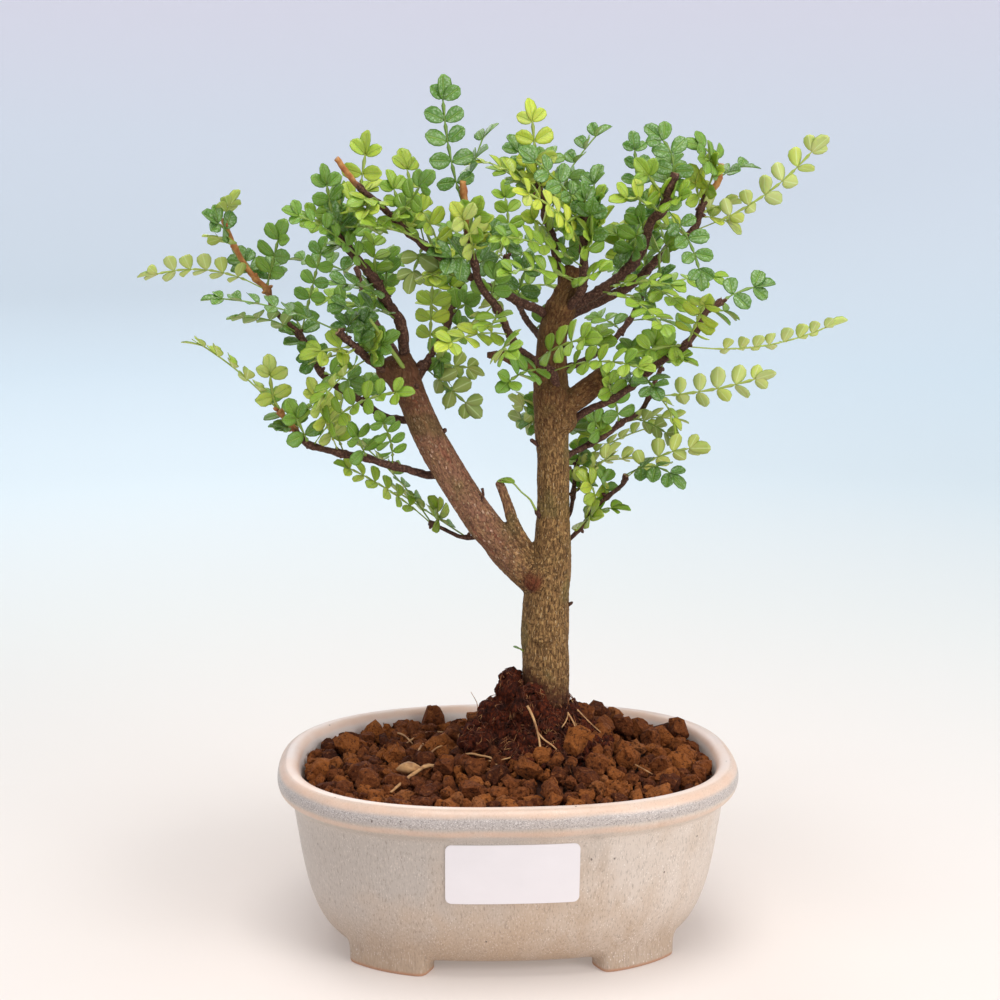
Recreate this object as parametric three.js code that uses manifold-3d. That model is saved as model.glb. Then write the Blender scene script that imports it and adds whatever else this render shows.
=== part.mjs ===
// A japanese pepper bonsai in its glazed pot.
// Lengths are millimetres and +Z is up. Everything is drawn with the middle of the pot at x = y = 0 and its
// feet at z = 0. At the end the whole tree is moved so that the middle of its box stands over the origin.
import * as THREE from "three";
import { mergeVertices } from "three/addons/utils/BufferGeometryUtils.js";
import Module from "manifold-3d";

const wasm = await Module();
wasm.setup();

// Driving dimensions

const GAP = 0.3; // clearance between two pieces that touch
const FLAT_SIDE_ROOM = 0.1; // added where the flat sides of two rings face each other
const JOIN_TOLERANCE = 0.005; // corners closer than this are one where pieces are joined

const POT_HALF_LENGTH = 87;
const POT_HALF_DEPTH = 67.5;
const POT_ROUNDNESS = 2.5; // exponent of the soft rectangle: 2 is an oval, more is squarer
const POT_SIDES = 32;
const LIP_HEIGHT = 64; // the lip's widest line
// Each pair is how far in from the lip's widest line, and how high.
const POT_OUTSIDE = [
  [21.5, 4.5], [16.5, 9.5], [12.6, 17], [9.6, 28], [5.6, 55.5], [2.2, 58.3], [0.5, 61.4],
  [0, LIP_HEIGHT], [1.5, 67.4], [4.7, 69], [7.7, 67.6],
];
const POT_INSIDE = [[9.4, 62], [13.8, 30], [25, 9.5]];

const FOOT_OUTER_INSET = 17.8; // at its top, where it runs on from the wall
const FOOT_WIDTH = 9;
const FOOT_TAPER = 0.6; // how much each side of the foot draws in towards its underside
const FOOT_TOP = 8.6; // sunk into the wall, which is a little wider there
const FOOT_START = THREE.MathUtils.degToRad(32);
const FOOT_END = THREE.MathUtils.degToRad(68);
const DRAIN_RADIUS = 5.5;
const DRAIN_TOP = 7; // the mesh inside closes the drain hole here
const DRAIN_OFFSET = 26;

const LABEL_LENGTH = 47;
const LABEL_BOTTOM = 32.2;
const LABEL_TOP = 55;
const LABEL_MIDDLE_X = -1.5;
const LABEL_THICKNESS = 0.6;
const LABEL_CORNER = 1.5; // how far the corners are cut back

const TRUNK_X = 15; // where the trunk comes out of the soil
const TRUNK_FOOT = 62;
const TRUNK_SIDES = 10;
const SOIL_EDGE = 62.6; // soil level along the wall
const MOUND_HEIGHT = 27; // how far the soil by the trunk stands above that level
const MOUND_SPREAD = 16;
const SOIL_ROUGHNESS = 3;
const SOIL_ROWS = [0.3, 0.65]; // rings of the surface, as shares of the way from the wall to the root ball
const ROOT_BALL_RADIUS = 25;
const ROOT_BALL_BOTTOM = 50;
const ROOT_BALL_ROUGHNESS = 1.6;
const ROOT_BALL_WAVES = [[0.07, 3, 1], [0.05, 5, 0]]; // share of the radius, waves, start
const ROOT_BALL_LUMP = { x: 4, y: 0, height: 6, halfLength: 5, halfDepth: 7 }; // on the left of the trunk
const PEAT_CLOD = { middle: [0.4, -1, 91], halves: [5.3, 6, 9.6] }; // an upright clod that stands on that lump
const TRUNK_HOLE_ROOM = 0.55; // between the trunk and the hole that it stands in

const GRANULE_COUNT = 25;
const GRANULE_RADIUS = [4.2, 6.6];
const GRANULE_FROM_ROOT_BALL = 8;
const GRANULE_FROM_WALL = 7;
const GRANULE_FLATNESS = 0.8;

// The solids carry one leaflet pair for about every two of the real leaf, a little larger than life.
const solidPairs = (pairs) => Math.ceil((pairs - 0.5) / 2.3);
const RIB_HALF_WIDTH = 0.7;
const RIB_HALF_HEIGHT = 0.66;
const STALK_FOOT = 0.6; // the rib is this much finer inside the twig
const FIRST_PAIR = 0.24; // share of the leaf's length where the lowest pair grows
const LAST_PAIR = 0.84;
const END_LEAFLET = 0.86;
const LEAFLET_WIDEST = 7.6;
const LEAFLET_LENGTH_SHARE = 1.5; // a leaflet's length for its width
const LEAFLET_SHOULDER = 0.62; // it is widest this far out
const LEAFLET_FORWARD = THREE.MathUtils.degToRad(62); // angle between a leaflet and the rib
const LEAFLET_DROOP = 0.12; // how far a leaflet hangs for its length
const TWIG_SIDES = 5;
const JOINT_VOLUME = 1.2; // leaves of one twig may share this much, where they join it
const LEAFLET_CLOSENESS = 0.93; // a leaflet's width for the room that its pair has along the rib
const END_LEAFLET_WIDTH = 0.8; // for its length
// A leaf that would cross its neighbour leans forwards or back by the first of these that clears it.
const LEANS = [0, 4, -4, 8, -8, 12, -12, 16, -16, 21, -21, 26, -26, 32, -32];

// Solid wood: each row is x, y, z and the radius there.

const TRUNK_LINE = [
  [15, 0, TRUNK_FOOT, 8.7], [15, 0, 89, 8.7], [15, 0, 108, 8.7], [15, 0, 128, 8.8], [17, 0, 141, 8.1],
  [17, 0, 158, 6.4], [17, 0, 177, 6.2], [16, 0, 196, 6.3], [16, 0, 205, 7], [16, 0, 218, 6.2],
  [17, 0, 229, 6], [18, 0, 237, 6.6], [21, 0, 245, 7.4],
];
const LIMB_LINE = [
  [17, 0, 131, 6.4], [12, 0, 134, 6.8], [2, -1, 144, 6.6], [-8, -2, 156, 6.5], [-16, -3, 169, 6.4],
  [-23, -4, 182, 6.3], [-30, -5, 195, 6.3], [-34, -6, 205, 6.5], [-38, -7, 216, 7], [-41, -8, 223, 6.6],
];
const STUB_LINES = [
  [[17, 0, 197, 4.2], [28, -3, 206, 4.4], [35, -5, 212, 4]],
  [[8, -1, 149, 2.9], [2, -2, 156, 2.9], [-1, -3, 167, 2.7], [-3, -3, 173, 2.4]],
  [[14, 0, 214, 2.6], [4, -3, 217, 2.2], [-2, -5, 220, 2], [-8, -6, 220, 1.6]],
];

// Leafy branches. "line" is the twig, and "leaves" are its compound leaves, each as
// [share of the twig's length where it grows, tip x, tip y, tip z, leaflet pairs, facing, bow].
// Facing is the turn of its upper side in degrees: 0 faces up, 90 faces the front, below 0 up and back.
// Bow is how far the middle of its rib bends up, or for an upright leaf to the side.

const BRANCHES = {
  left_upper: {
    radii: [3.3, 1.6],
    line: [[-38, -7, 218], [-38, -8, 226], [-39, -9, 232], [-44, -12, 240], [-47, -14, 246], [-54, -17, 255],
      [-59, -19, 261], [-64, -21, 268]],
    leaves: [
      [0.93, -65, -24, 288, 4, 60, 0], [0.56, -79, -36, 272, 6, 35, 4], [0.44, -63, -34, 246, 4, 15, 2],
      [0.96, -43, -34, 281, 4, 40, 3], [0.98, -76, -22, 271, 2, 50, 0], [0.53, -49, -2, 266, 4, 60, 0],
      [0.43, -43, 2, 261, 3, 60, 0], [0.25, -64, -32, 238, 4, 20, 3],
      [0.82, -56, -8, 274, 3, 60, 0],
    ],
  },
  left_far: {
    radii: [2.2, 1.1],
    line: [[-35, -1, 196], [-41, 2, 196], [-46, 5, 197], [-55, 8, 203], [-62, 9, 207], [-69, 10, 213],
      [-73, 11, 221], [-77, 12, 227], [-86, 12, 236], [-88, 12, 243], [-93, 11, 248], [-98, 10, 256],
      [-101, 9, 263], [-103, 8, 269]],
    leaves: [
      [0.71, -133, -5, 247, 6, -45, 6], [0.99, -94, 6, 275, 2, -20, 3], [0.9, -110, 4, 265, 2, -20, 0],
      [0.77, -100, 18, 260, 4, 60, 0], [0.72, -81, 2, 269, 5, 65, 0], [0.52, -66, 2, 263, 5, 70, 0],
      [0.53, -102, -4, 233, 4, -30, 3], [0.38, -52, -2, 209, 3, 60, 0], [0.27, -69, 22, 197, 3, 40, -2],
      [0.46, -85, 24, 229, 4, 30, 2], [0.2, -50, 18, 213, 4, 60, 0],
    ],
  },
  left_short: {
    radii: [2.4, 1.4],
    line: [[-41, -9, 214], [-46, -12, 216], [-51, -15, 220], [-56, -18, 225], [-61, -20, 230]],
    leaves: [
      [0.98, -108, -28, 242, 7, 15, 3], [0.64, -72, -22, 219, 4, 0, 0], [0.87, -56, -8, 236, 2, 70, 0],
      [0.45, -68, -40, 204, 6, 5, 2], [0.5, -40, -24, 230, 3, 60, 0],
    ],
  },
  left_low: {
    radii: [2.3, 1.1],
    line: [[-23, 0, 175], [-32, -1, 176], [-37, -3, 178], [-44, -5, 180], [-52, -8, 183], [-61, -10, 185],
      [-68, -11, 187], [-73, -12, 189], [-78, -12, 195], [-83, -12, 201]],
    leaves: [
      [1, -84, -14, 222, 6, 80, -2], [0.99, -115, -20, 229, 5, -10, 2], [0.82, -90, 0, 209, 4, 60, 0],
      [0.88, -87, -14, 195, 2, 10, 0], [0.74, -34, -36, 210, 6, 50, 6], [0.57, -68, 2, 204, 4, 60, 0],
      [0.6, -72, -20, 214, 4, 50, 0], [0.3, -48, -16, 202, 4, 75, 2], [0.76, -79, -22, 206, 3, 60, 0],
      [0.45, -56, -24, 197, 3, 60, 0],
    ],
  },
  left_hanging: {
    radii: [1.2, 0.9],
    line: [[-6, 4, 150], [-10, 8, 150], [-13, 9, 150], [-17, 10, 150], [-22, 12, 152], [-29, 14, 155]],
    leaves: [
      [0.98, -64, -2, 181, 7, 30, 2], [0.96, -59, 24, 187, 5, 5, 2], [0.4, -46, 28, 168, 5, -10, 0],
    ],
  },
  left_inner: {
    radii: [2.1, 1.1],
    line: [[-35, -2, 207], [-31, 3, 214], [-28, 7, 219], [-23, 12, 227], [-20, 16, 235], [-17, 19, 244],
      [-15, 21, 251]],
    leaves: [
      [0.24, -7, 2, 214, 4, -60, 0], [0.2, -9, 6, 196, 4, -70, 0], [0.66, -10, 4, 241, 2, 70, 0],
      [0.28, -27, 2, 253, 6, 80, 0], [0.48, -12, 24, 232, 3, 60, 0], [0.94, -3, 4, 254, 4, 40, 2],
      [0.98, -24, 30, 266, 5, 70, 0], [0.58, -32, 26, 242, 4, 60, 0], [1, -7, 28, 268, 5, 70, 0],
    ],
  },
  front_left: {
    radii: [2.6, 1.2],
    line: [[15, 0, 234], [9, -3, 237], [4, -6, 239], [-3, -9, 243], [-10, -12, 246], [-16, -15, 250],
      [-22, -18, 254], [-31, -22, 260], [-40, -26, 268], [-46, -29, 274], [-53, -31, 280], [-60, -34, 289]],
    leaves: [
      [0.87, -49, -30, 299, 4, 70, 0], [0.79, -55, -40, 273, 2, 30, 2], [0.56, -38, -14, 294, 6, 60, 0],
      [0.64, -43, -18, 286, 5, 60, 0], [0.49, -36, -32, 277, 5, 45, 2], [0.45, -53, -48, 266, 7, 15, 4],
      [0.44, -34, -30, 250, 3, 20, -2], [0.57, -37, -16, 243, 4, -60, 0],
      [0.22, -17, -6, 230, 4, -30, -2], [0.7, -28, -30, 285, 5, 50, 0],
    ],
  },
  front_tall: {
    radii: [2.4, 1.3],
    line: [[18, -3, 205], [16, -8, 213], [12, -10, 217], [4, -13, 222], [0, -15, 228], [-5, -18, 238],
      [-11, -20, 246], [-13, -21, 254], [-15, -22, 262], [-16, -23, 272], [-17, -24, 282]],
    leaves: [
      [0.87, -24, -26, 318, 7, 80, -2], [0.68, -21, -38, 274, 5, 60, 2], [0.96, -7, -18, 304, 3, 20, 0],
      [0.2, 29, -42, 229, 4, 40, 2], [0.13, -5, -38, 210, 5, 55, 3], [0.12, 48, -46, 217, 6, 45, 4],
      [0.36, -27, -42, 224, 4, 40, 3], [0.32, -1, -56, 225, 3, 40, 4], [0.48, -12, -40, 231, 3, 30, -2],
      [0.77, -5, -36, 268, 3, 40, 2],
    ],
  },
  crown_centre: {
    radii: [2.4, 1.3],
    line: [[20, 4, 240], [20, 5, 248], [18, 5, 255], [17, 5, 261], [14, 4, 270], [12, 4, 278], [11, 3, 283]],
    leaves: [
      [1, 8, 0, 312, 6, 80, 0], [0.87, 17, 14, 297, 4, 60, 0], [0.88, 1, 12, 300, 4, 60, 0],
      [0.85, -8, 4, 288, 5, 40, 2], [0.7, 38, 10, 304, 5, 20, 2], [0.68, 27, 18, 290, 4, 60, 0],
      [0.85, -16, -20, 290, 6, 10, 3], [0.47, 4, -14, 270, 4, 50, 2], [0.53, 28, 26, 266, 4, 50, 2],
    ],
  },
  crown_front: {
    radii: [2.4, 1.6],
    line: [[21, -3, 236], [26, -7, 243], [27, -8, 249], [27, -8, 258], [27, -9, 267], [26, -10, 277]],
    leaves: [
      [0.54, 0, -38, 279, 6, 35, 4], [0.85, 2, -16, 293, 6, 45, 2], [0.74, 33, -4, 289, 4, 50, 0],
      [0.61, 29, -20, 277, 3, 75, 0], [0.56, 36, -24, 274, 4, 20, 0], [0.41, -8, -32, 263, 6, 30, 3],
      [0.25, -6, -44, 250, 6, 25, 4], [0.32, 35, -32, 252, 3, 45, 2], [0.68, 19, 6, 281, 4, 60, 0],
    ],
  },
  right_upper: {
    radii: [3, 1.8],
    line: [[22, 0, 236], [34, 0, 243], [40, 0, 247], [48, 0, 256], [50, 0, 261], [52, -1, 268],
      [56, -3, 272], [58, -5, 279], [60, -6, 285]],
    leaves: [
      [0.9, 47, -8, 301, 4, 75, 6], [0.57, 46, 8, 301, 5, 75, 0], [0.76, 35, -20, 275, 4, 45, 3],
      [0.43, 47, -16, 274, 3, 50, 0], [0.83, 64, -18, 278, 2, 40, 0], [0.81, 69, -14, 243, 5, 70, 3],
      [0.24, 61, -28, 245, 5, 15, 2], [0.46, 35, 12, 267, 5, 50, 2], [0.38, 44, 18, 270, 5, 60, 0],
      [0.89, 61, 12, 294, 4, 60, 0], [0.2, 53, -42, 229, 6, 30, 4],
      [0.3, 62, -30, 237, 6, 20, 3],
    ],
  },
  right_far: {
    radii: [2.8, 1.4],
    line: [[20, 3, 232], [29, 9, 236], [38, 11, 240], [46, 12, 244], [54, 13, 251], [61, 15, 258],
      [66, 16, 261], [71, 17, 265], [74, 17, 275], [79, 16, 282], [80, 15, 289]],
    leaves: [
      [0.7, 117, 5, 300, 6, -60, -5], [0.94, 96, 18, 288, 3, 20, 2], [0.83, 78, 4, 293, 4, 30, 0],
      [0.5, 62, -6, 260, 3, 40, 2], [0.8, 68, 10, 289, 4, 60, 0], [0.44, 53, 30, 268, 4, 60, 0],
      [0.56, 58, 32, 274, 4, 60, 0], [0.77, 90, 24, 273, 4, -20, 2],
    ],
  },
  right_middle: {
    radii: [2.2, 1.3],
    line: [[18, 1, 189], [25, -1, 196], [30, -4, 200], [36, -7, 203], [45, -10, 209], [52, -12, 216],
      [62, -14, 223], [67, -15, 229], [69, -16, 235], [76, -17, 240]],
    leaves: [
      [0.73, 122, -14, 234, 8, -35, -5], [0.75, 66, -30, 244, 5, 70, 0], [0.99, 96, -14, 245, 4, 50, 2],
      [0.33, 34, 4, 217, 3, 60, 0], [0.56, 54, -8, 232, 3, 75, 0], [0.54, 42, 2, 226, 3, 60, 0],
      [0.9, 84, -4, 233, 3, 30, 2], [0.85, 60, -4, 240, 4, 50, 2],
    ],
  },
  right_thin: {
    radii: [1.8, 1],
    line: [[18, 3, 178], [23, 8, 181], [32, 12, 185], [38, 14, 188], [45, 16, 193], [52, 18, 197],
      [57, 20, 207], [60, 21, 213]],
    leaves: [
      [0.8, 102, 10, 212, 5, -75, -2], [0.54, 72, 28, 191, 4, -20, 2], [0.61, 66, 10, 184, 3, -40, 2],
      [0.4, 30, 4, 199, 3, 60, 0], [0.53, 40, 10, 208, 4, 60, 0], [0.3, 37, 22, 197, 3, 60, 0],
      [1, 63, 24, 227, 3, 60, 0],
    ],
  },
  right_low: {
    radii: [1.4, 0.9],
    line: [[18, 5, 144], [23, 9, 148], [28, 9, 153], [33, 9, 160], [39, 8, 166], [44, 8, 170], [45, 7, 174]],
    leaves: [
      [0.95, 77, 4, 184, 5, -60, 4], [0.99, 65, -8, 170, 4, 30, 6], [0.35, 47, 4, 159, 3, 20, 5],
      [0.58, 25, 4, 175, 3, 40, 3], [0.72, 36, 16, 177, 3, 50, 0],
    ],
  },
  right_behind: {
    radii: [1.3, 0.9],
    line: [[17, 5, 152], [20, 13, 153], [22, 15, 154], [25, 17, 158], [26, 18, 163], [27, 20, 171],
      [28, 22, 176]],
    leaves: [
      [1, 62, 34, 190, 6, -20, 2], [0.92, 54, 30, 176, 5, -30, 2], [0.65, 46, 26, 183, 5, -50, 2],
      [1, 31, 16, 187, 2, 60, 0], [0.7, 36, 26, 170, 2, 40, 0],
    ],
  },
  back_low: {
    radii: [1.6, 1.1],
    line: [[17, 4, 186], [18, 14, 188], [17, 24, 189], [17, 32, 190]],
    leaves: [
      [0.6, 3, 34, 202, 4, -40, 0], [0.75, 3, 40, 193, 4, -50, 0], [1, 30, 56, 200, 5, 40, 2],
      [0.98, 17, 62, 204, 4, 50, 2],
    ],
  },
  back_left: {
    radii: [2, 1.1],
    line: [[-38, -5, 214], [-42, 8, 222], [-48, 20, 230], [-53, 32, 240], [-56, 42, 250]],
    leaves: [
      [1, -62, 50, 276, 5, 60, 2], [0.9, -84, 52, 252, 5, 30, 3], [0.8, -34, 52, 256, 5, 40, 2],
      [0.6, -78, 36, 240, 4, 30, 2], [0.95, -50, 74, 262, 4, 20, 3],
    ],
  },
  back_middle: {
    radii: [2.2, 1.1],
    line: [[18, 3, 220], [14, 12, 224], [8, 26, 232], [4, 38, 242], [2, 48, 254]],
    leaves: [
      [1, 0, 52, 284, 5, 70, 2], [0.95, -26, 58, 266, 5, 30, 2], [0.9, 30, 58, 268, 5, 30, 2],
      [0.7, -22, 44, 238, 5, 30, 2], [0.75, 32, 46, 240, 4, 30, 2], [0.98, 4, 80, 262, 5, 20, 3],
    ],
  },
  back_right: {
    radii: [2, 1.1],
    line: [[20, 3, 214], [28, 10, 216], [40, 22, 222], [50, 32, 232], [56, 40, 244]],
    leaves: [
      [1, 60, 44, 272, 5, 70, 2], [0.9, 90, 46, 246, 6, 30, 3], [0.7, 76, 40, 226, 4, 20, 2],
      [0.95, 56, 74, 256, 5, 20, 3], [0.6, 34, 46, 230, 4, 40, 2],
    ],
  },
};

// Shared shapes

// A repeatable draw between 0 and 1, from a whole number.
function draw(number) {
  const value = Math.sin(number * 12.9898 + 4.1414) * 43758.5453;
  return value - Math.floor(value);
}

function solidFrom(points, triangles) {
  const geometry = new THREE.BufferGeometry().setFromPoints(points).setIndex(triangles);
  return solidOf(geometry);
}

// A smooth line through the points [x, y, z].
function smoothLine(rows) {
  const points = rows.map(([x, y, z]) => new THREE.Vector3(x, y, z));
  return new THREE.CatmullRomCurve3(points, false, "centripetal");
}

function solidOf(geometry) {
  geometry.deleteAttribute("normal");
  geometry.deleteAttribute("uv");
  const merged = mergeVertices(geometry, 1e-4);
  return new wasm.Manifold(
    new wasm.Mesh({
      numProp: 3,
      vertProperties: merged.attributes.position.array,
      triVerts: new Uint32Array(merged.index.array),
      tolerance: JOIN_TOLERANCE,
    }),
  );
}

// Rings of points, each counter-clockwise about the way that they follow each other, closed at both ends.
function loft(rings) {
  const sides = rings[0].length;
  const points = rings.flat();
  const triangles = [];
  for (let ring = 0; ring + 1 < rings.length; ring++) {
    for (let side = 0; side < sides; side++) {
      const a = ring * sides + side;
      const b = ring * sides + ((side + 1) % sides);
      triangles.push(a, b, a + sides, b, b + sides, a + sides);
    }
  }
  const middleOf = (ring) => ring.reduce((sum, p) => sum.add(p), new THREE.Vector3()).divideScalar(sides);
  const last = (rings.length - 1) * sides;
  const bottomMiddle = points.push(middleOf(rings[0])) - 1;
  const topMiddle = points.push(middleOf(rings.at(-1))) - 1;
  for (let side = 0; side < sides; side++) {
    const next = (side + 1) % sides;
    triangles.push(bottomMiddle, next, side, topMiddle, last + side, last + next);
  }
  return solidFrom(points, triangles);
}

// A tapered round stick along a smooth curve through the rows [x, y, z, radius].
function stick(rows, sides, steps, grow = 0) {
  const curve = smoothLine(rows);
  const frames = curve.computeFrenetFrames(steps, false);
  const rings = [];
  for (let step = 0; step <= steps; step++) {
    const along = step / steps;
    const row = curve.getUtoTmapping(along) * (rows.length - 1);
    const before = Math.min(Math.floor(row), rows.length - 2);
    const radius = THREE.MathUtils.lerp(rows[before][3], rows[before + 1][3], row - before) + grow;
    const middle = curve.getPointAt(along);
    const ring = [];
    for (let side = 0; side < sides; side++) {
      const angle = (side / sides) * 2 * Math.PI;
      ring.push(
        middle
          .clone()
          .addScaledVector(frames.normals[step], radius * Math.cos(angle))
          .addScaledVector(frames.binormals[step], radius * Math.sin(angle)),
      );
    }
    rings.push(ring);
  }
  return loft(rings);
}

function joined(solids) {
  return solids.reduce((whole, solid) => whole.add(solid));
}

// The biggest of the bodies that a cut leaves.
function biggest(solid) {
  return solid.decompose().reduce((best, body) => (body.volume() > best.volume() ? body : best));
}

function meshOf(name, solid, material) {
  const made = solid.getMesh();
  const geometry = new THREE.BufferGeometry();
  geometry.setAttribute("position", new THREE.BufferAttribute(made.vertProperties, 3));
  geometry.setIndex(new THREE.BufferAttribute(made.triVerts, 1));
  geometry.computeVertexNormals();
  const mesh = new THREE.Mesh(geometry, material);
  mesh.name = name;
  return mesh;
}

// Pot

// One ring of the pot's soft rectangle, lying in from the lip's widest line by inset.
function potRing(inset, height) {
  const ring = [];
  for (let side = 0; side < POT_SIDES; side++) {
    ring.push(potPoint((side / POT_SIDES) * 2 * Math.PI, inset, height));
  }
  return ring;
}

function potPoint(angle, inset, height) {
  const soft = (value) => Math.sign(value) * Math.abs(value) ** (2 / POT_ROUNDNESS);
  return new THREE.Vector3(
    (POT_HALF_LENGTH - inset) * soft(Math.cos(angle)),
    (POT_HALF_DEPTH - inset) * soft(Math.sin(angle)),
    height,
  );
}

function makePot() {
  const body = loft([...POT_OUTSIDE, ...POT_INSIDE].map(([inset, height]) => potRing(inset, height)));
  const feet = [0, 1, 2, 3].map(makeFoot);
  const drains = [-DRAIN_OFFSET, DRAIN_OFFSET].map((x) => {
    const hole = new THREE.CylinderGeometry(DRAIN_RADIUS, DRAIN_RADIUS, DRAIN_TOP, 12);
    hole.rotateX(Math.PI / 2).translate(x, 0, DRAIN_TOP / 2);
    return solidOf(hole);
  });
  return joined([body, ...feet]).subtract(joined(drains));
}

// A foot follows one corner of the pot's outline.
function makeFoot(corner) {
  const steps = 4;
  const rings = [];
  // Neighbouring corners are mirror images, so every second foot starts where the first one ends.
  const quarter = (corner * Math.PI) / 2;
  const mirrored = corner % 2 === 1;
  const start = quarter + (mirrored ? Math.PI / 2 - FOOT_END : FOOT_START);
  const outer = FOOT_OUTER_INSET;
  const inner = FOOT_OUTER_INSET + FOOT_WIDTH;
  for (let step = 0; step <= steps; step++) {
    const angle = start + ((FOOT_END - FOOT_START) * step) / steps;
    rings.push([
      potPoint(angle, outer + FOOT_TAPER, 0),
      potPoint(angle, inner - FOOT_TAPER, 0),
      potPoint(angle, inner, FOOT_TOP),
      potPoint(angle, outer, FOOT_TOP),
    ]);
  }
  return loft(rings);
}

// How far in the outside wall lies at a height between its two tall rings.
function wallInset(height) {
  const [low, high] = [POT_OUTSIDE[3], POT_OUTSIDE[4]];
  return THREE.MathUtils.mapLinear(height, low[1], high[1], low[0], high[0]);
}

function makeLabel() {
  const across = 8;
  const rings = [];
  for (let step = 0; step <= across; step++) {
    const share = step / across;
    const x = LABEL_MIDDLE_X + LABEL_LENGTH * (share - 0.5);
    const nip = step === 0 || step === across ? LABEL_CORNER : 0;
    const point = (height, out) => {
      const inset = wallInset(height);
      const bulge = 1 - (Math.abs(x) / (POT_HALF_LENGTH - inset)) ** POT_ROUNDNESS;
      return new THREE.Vector3(x, -(POT_HALF_DEPTH - inset) * bulge ** (1 / POT_ROUNDNESS) - out, height);
    };
    const near = GAP;
    const far = GAP + LABEL_THICKNESS;
    rings.push([
      point(LABEL_BOTTOM + nip, near),
      point(LABEL_TOP - nip, near),
      point(LABEL_TOP - nip, far),
      point(LABEL_BOTTOM + nip, far),
    ]);
  }
  return loft(rings);
}

// Soil and roots

// Height of the soil's smooth surface.
function soilHeight(x, y) {
  const fromTrunk = Math.hypot(x - TRUNK_X, y);
  return SOIL_EDGE + MOUND_HEIGHT * Math.exp(-Math.max(0, fromTrunk - 9) / MOUND_SPREAD);
}

// One ring of the root ball, or of the pit that holds it.
function rootBallRing(radius, sides, heightAt) {
  const ring = [];
  for (let side = 0; side < sides; side++) {
    const angle = (side / sides) * 2 * Math.PI;
    const wave = ([size, count, start]) => size * Math.sin(count * angle + start);
    const reach = radius * ROOT_BALL_WAVES.reduce((sum, row) => sum + wave(row), 1);
    const x = TRUNK_X + reach * Math.cos(angle);
    const y = reach * Math.sin(angle);
    ring.push(new THREE.Vector3(x, y, heightAt(x, y, side)));
  }
  return ring;
}

function makeSoil() {
  const room = GAP + FLAT_SIDE_ROOM;
  const walls = [...POT_INSIDE].reverse().map(([inset, height]) => potRing(inset + room, height + GAP));
  const edge = walls.at(-1);
  for (const point of edge) point.z = SOIL_EDGE;
  const pit = rootBallRing(ROOT_BALL_RADIUS + room, POT_SIDES, (x, y) => soilHeight(x, y) - 1.2);
  const pitFloor = rootBallRing(ROOT_BALL_RADIUS - 2, POT_SIDES, () => ROOT_BALL_BOTTOM - GAP);
  const tops = SOIL_ROWS.map((share, row) =>
    edge.map((outer, side) => {
      const point = outer.clone().lerp(pit[side], share);
      point.z = soilHeight(point.x, point.y) + SOIL_ROUGHNESS * (draw(row * POT_SIDES + side) - 0.5);
      return point;
    }),
  );
  const bed = loft([...walls, ...tops, pit, pitFloor]);
  return joined([bed, ...makeGranules(), makeRoot(THICK_ROOT)]);
}

// Lumps of baked clay, sunk about halfway into the bed, spread evenly by the golden angle.
function makeGranules() {
  const granules = [];
  const goldenAngle = Math.PI * (3 - Math.sqrt(5));
  for (let index = 0; index < GRANULE_COUNT; index++) {
    const angle = index * goldenAngle;
    const share = Math.sqrt((index + 0.5) / GRANULE_COUNT);
    const near = ROOT_BALL_RADIUS + GRANULE_FROM_ROOT_BALL;
    const wall = potPoint(angle, POT_INSIDE[0][0] + GRANULE_FROM_WALL, 0);
    const place = new THREE.Vector3(TRUNK_X + near * Math.cos(angle), near * Math.sin(angle), 0);
    place.lerp(wall, share);
    const radius = THREE.MathUtils.lerp(...GRANULE_RADIUS, draw(index + 500));
    const lump = new THREE.OctahedronGeometry(radius, 0);
    lump.scale(1, GRANULE_FLATNESS + 0.3 * draw(index + 600), GRANULE_FLATNESS);
    lump.rotateX(6 * draw(index + 700)).rotateZ(6 * draw(index + 800));
    lump.translate(place.x, place.y, soilHeight(place.x, place.y) + 0.2 * radius);
    granules.push(solidOf(lump));
  }
  return granules;
}

// Tan roots lie half sunk in the soil: each row is x, y and the root's radius there.
const THICK_ROOT = [[-25, -13, 1.2], [-30, -20, 1.6], [-37, -26, 1.6], [-44, -33, 1.3]];
const MOUND_ROOTS = [
  [[9, -10, 1], [10, -13, 1.1], [12, -17, 1], [13, -21, 0.9]],
  [[24, -9, 0.9], [28, -12, 1], [31, -15, 0.9]],
  [[4, -6, 0.9], [-1, -10, 1], [-3, -13, 0.9]],
];

function makeRoot(line) {
  const rows = line.map(([x, y, radius]) => [x, y, soilHeight(x, y) + 0.2, radius]);
  return stick(rows, 5, line.length);
}

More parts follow.
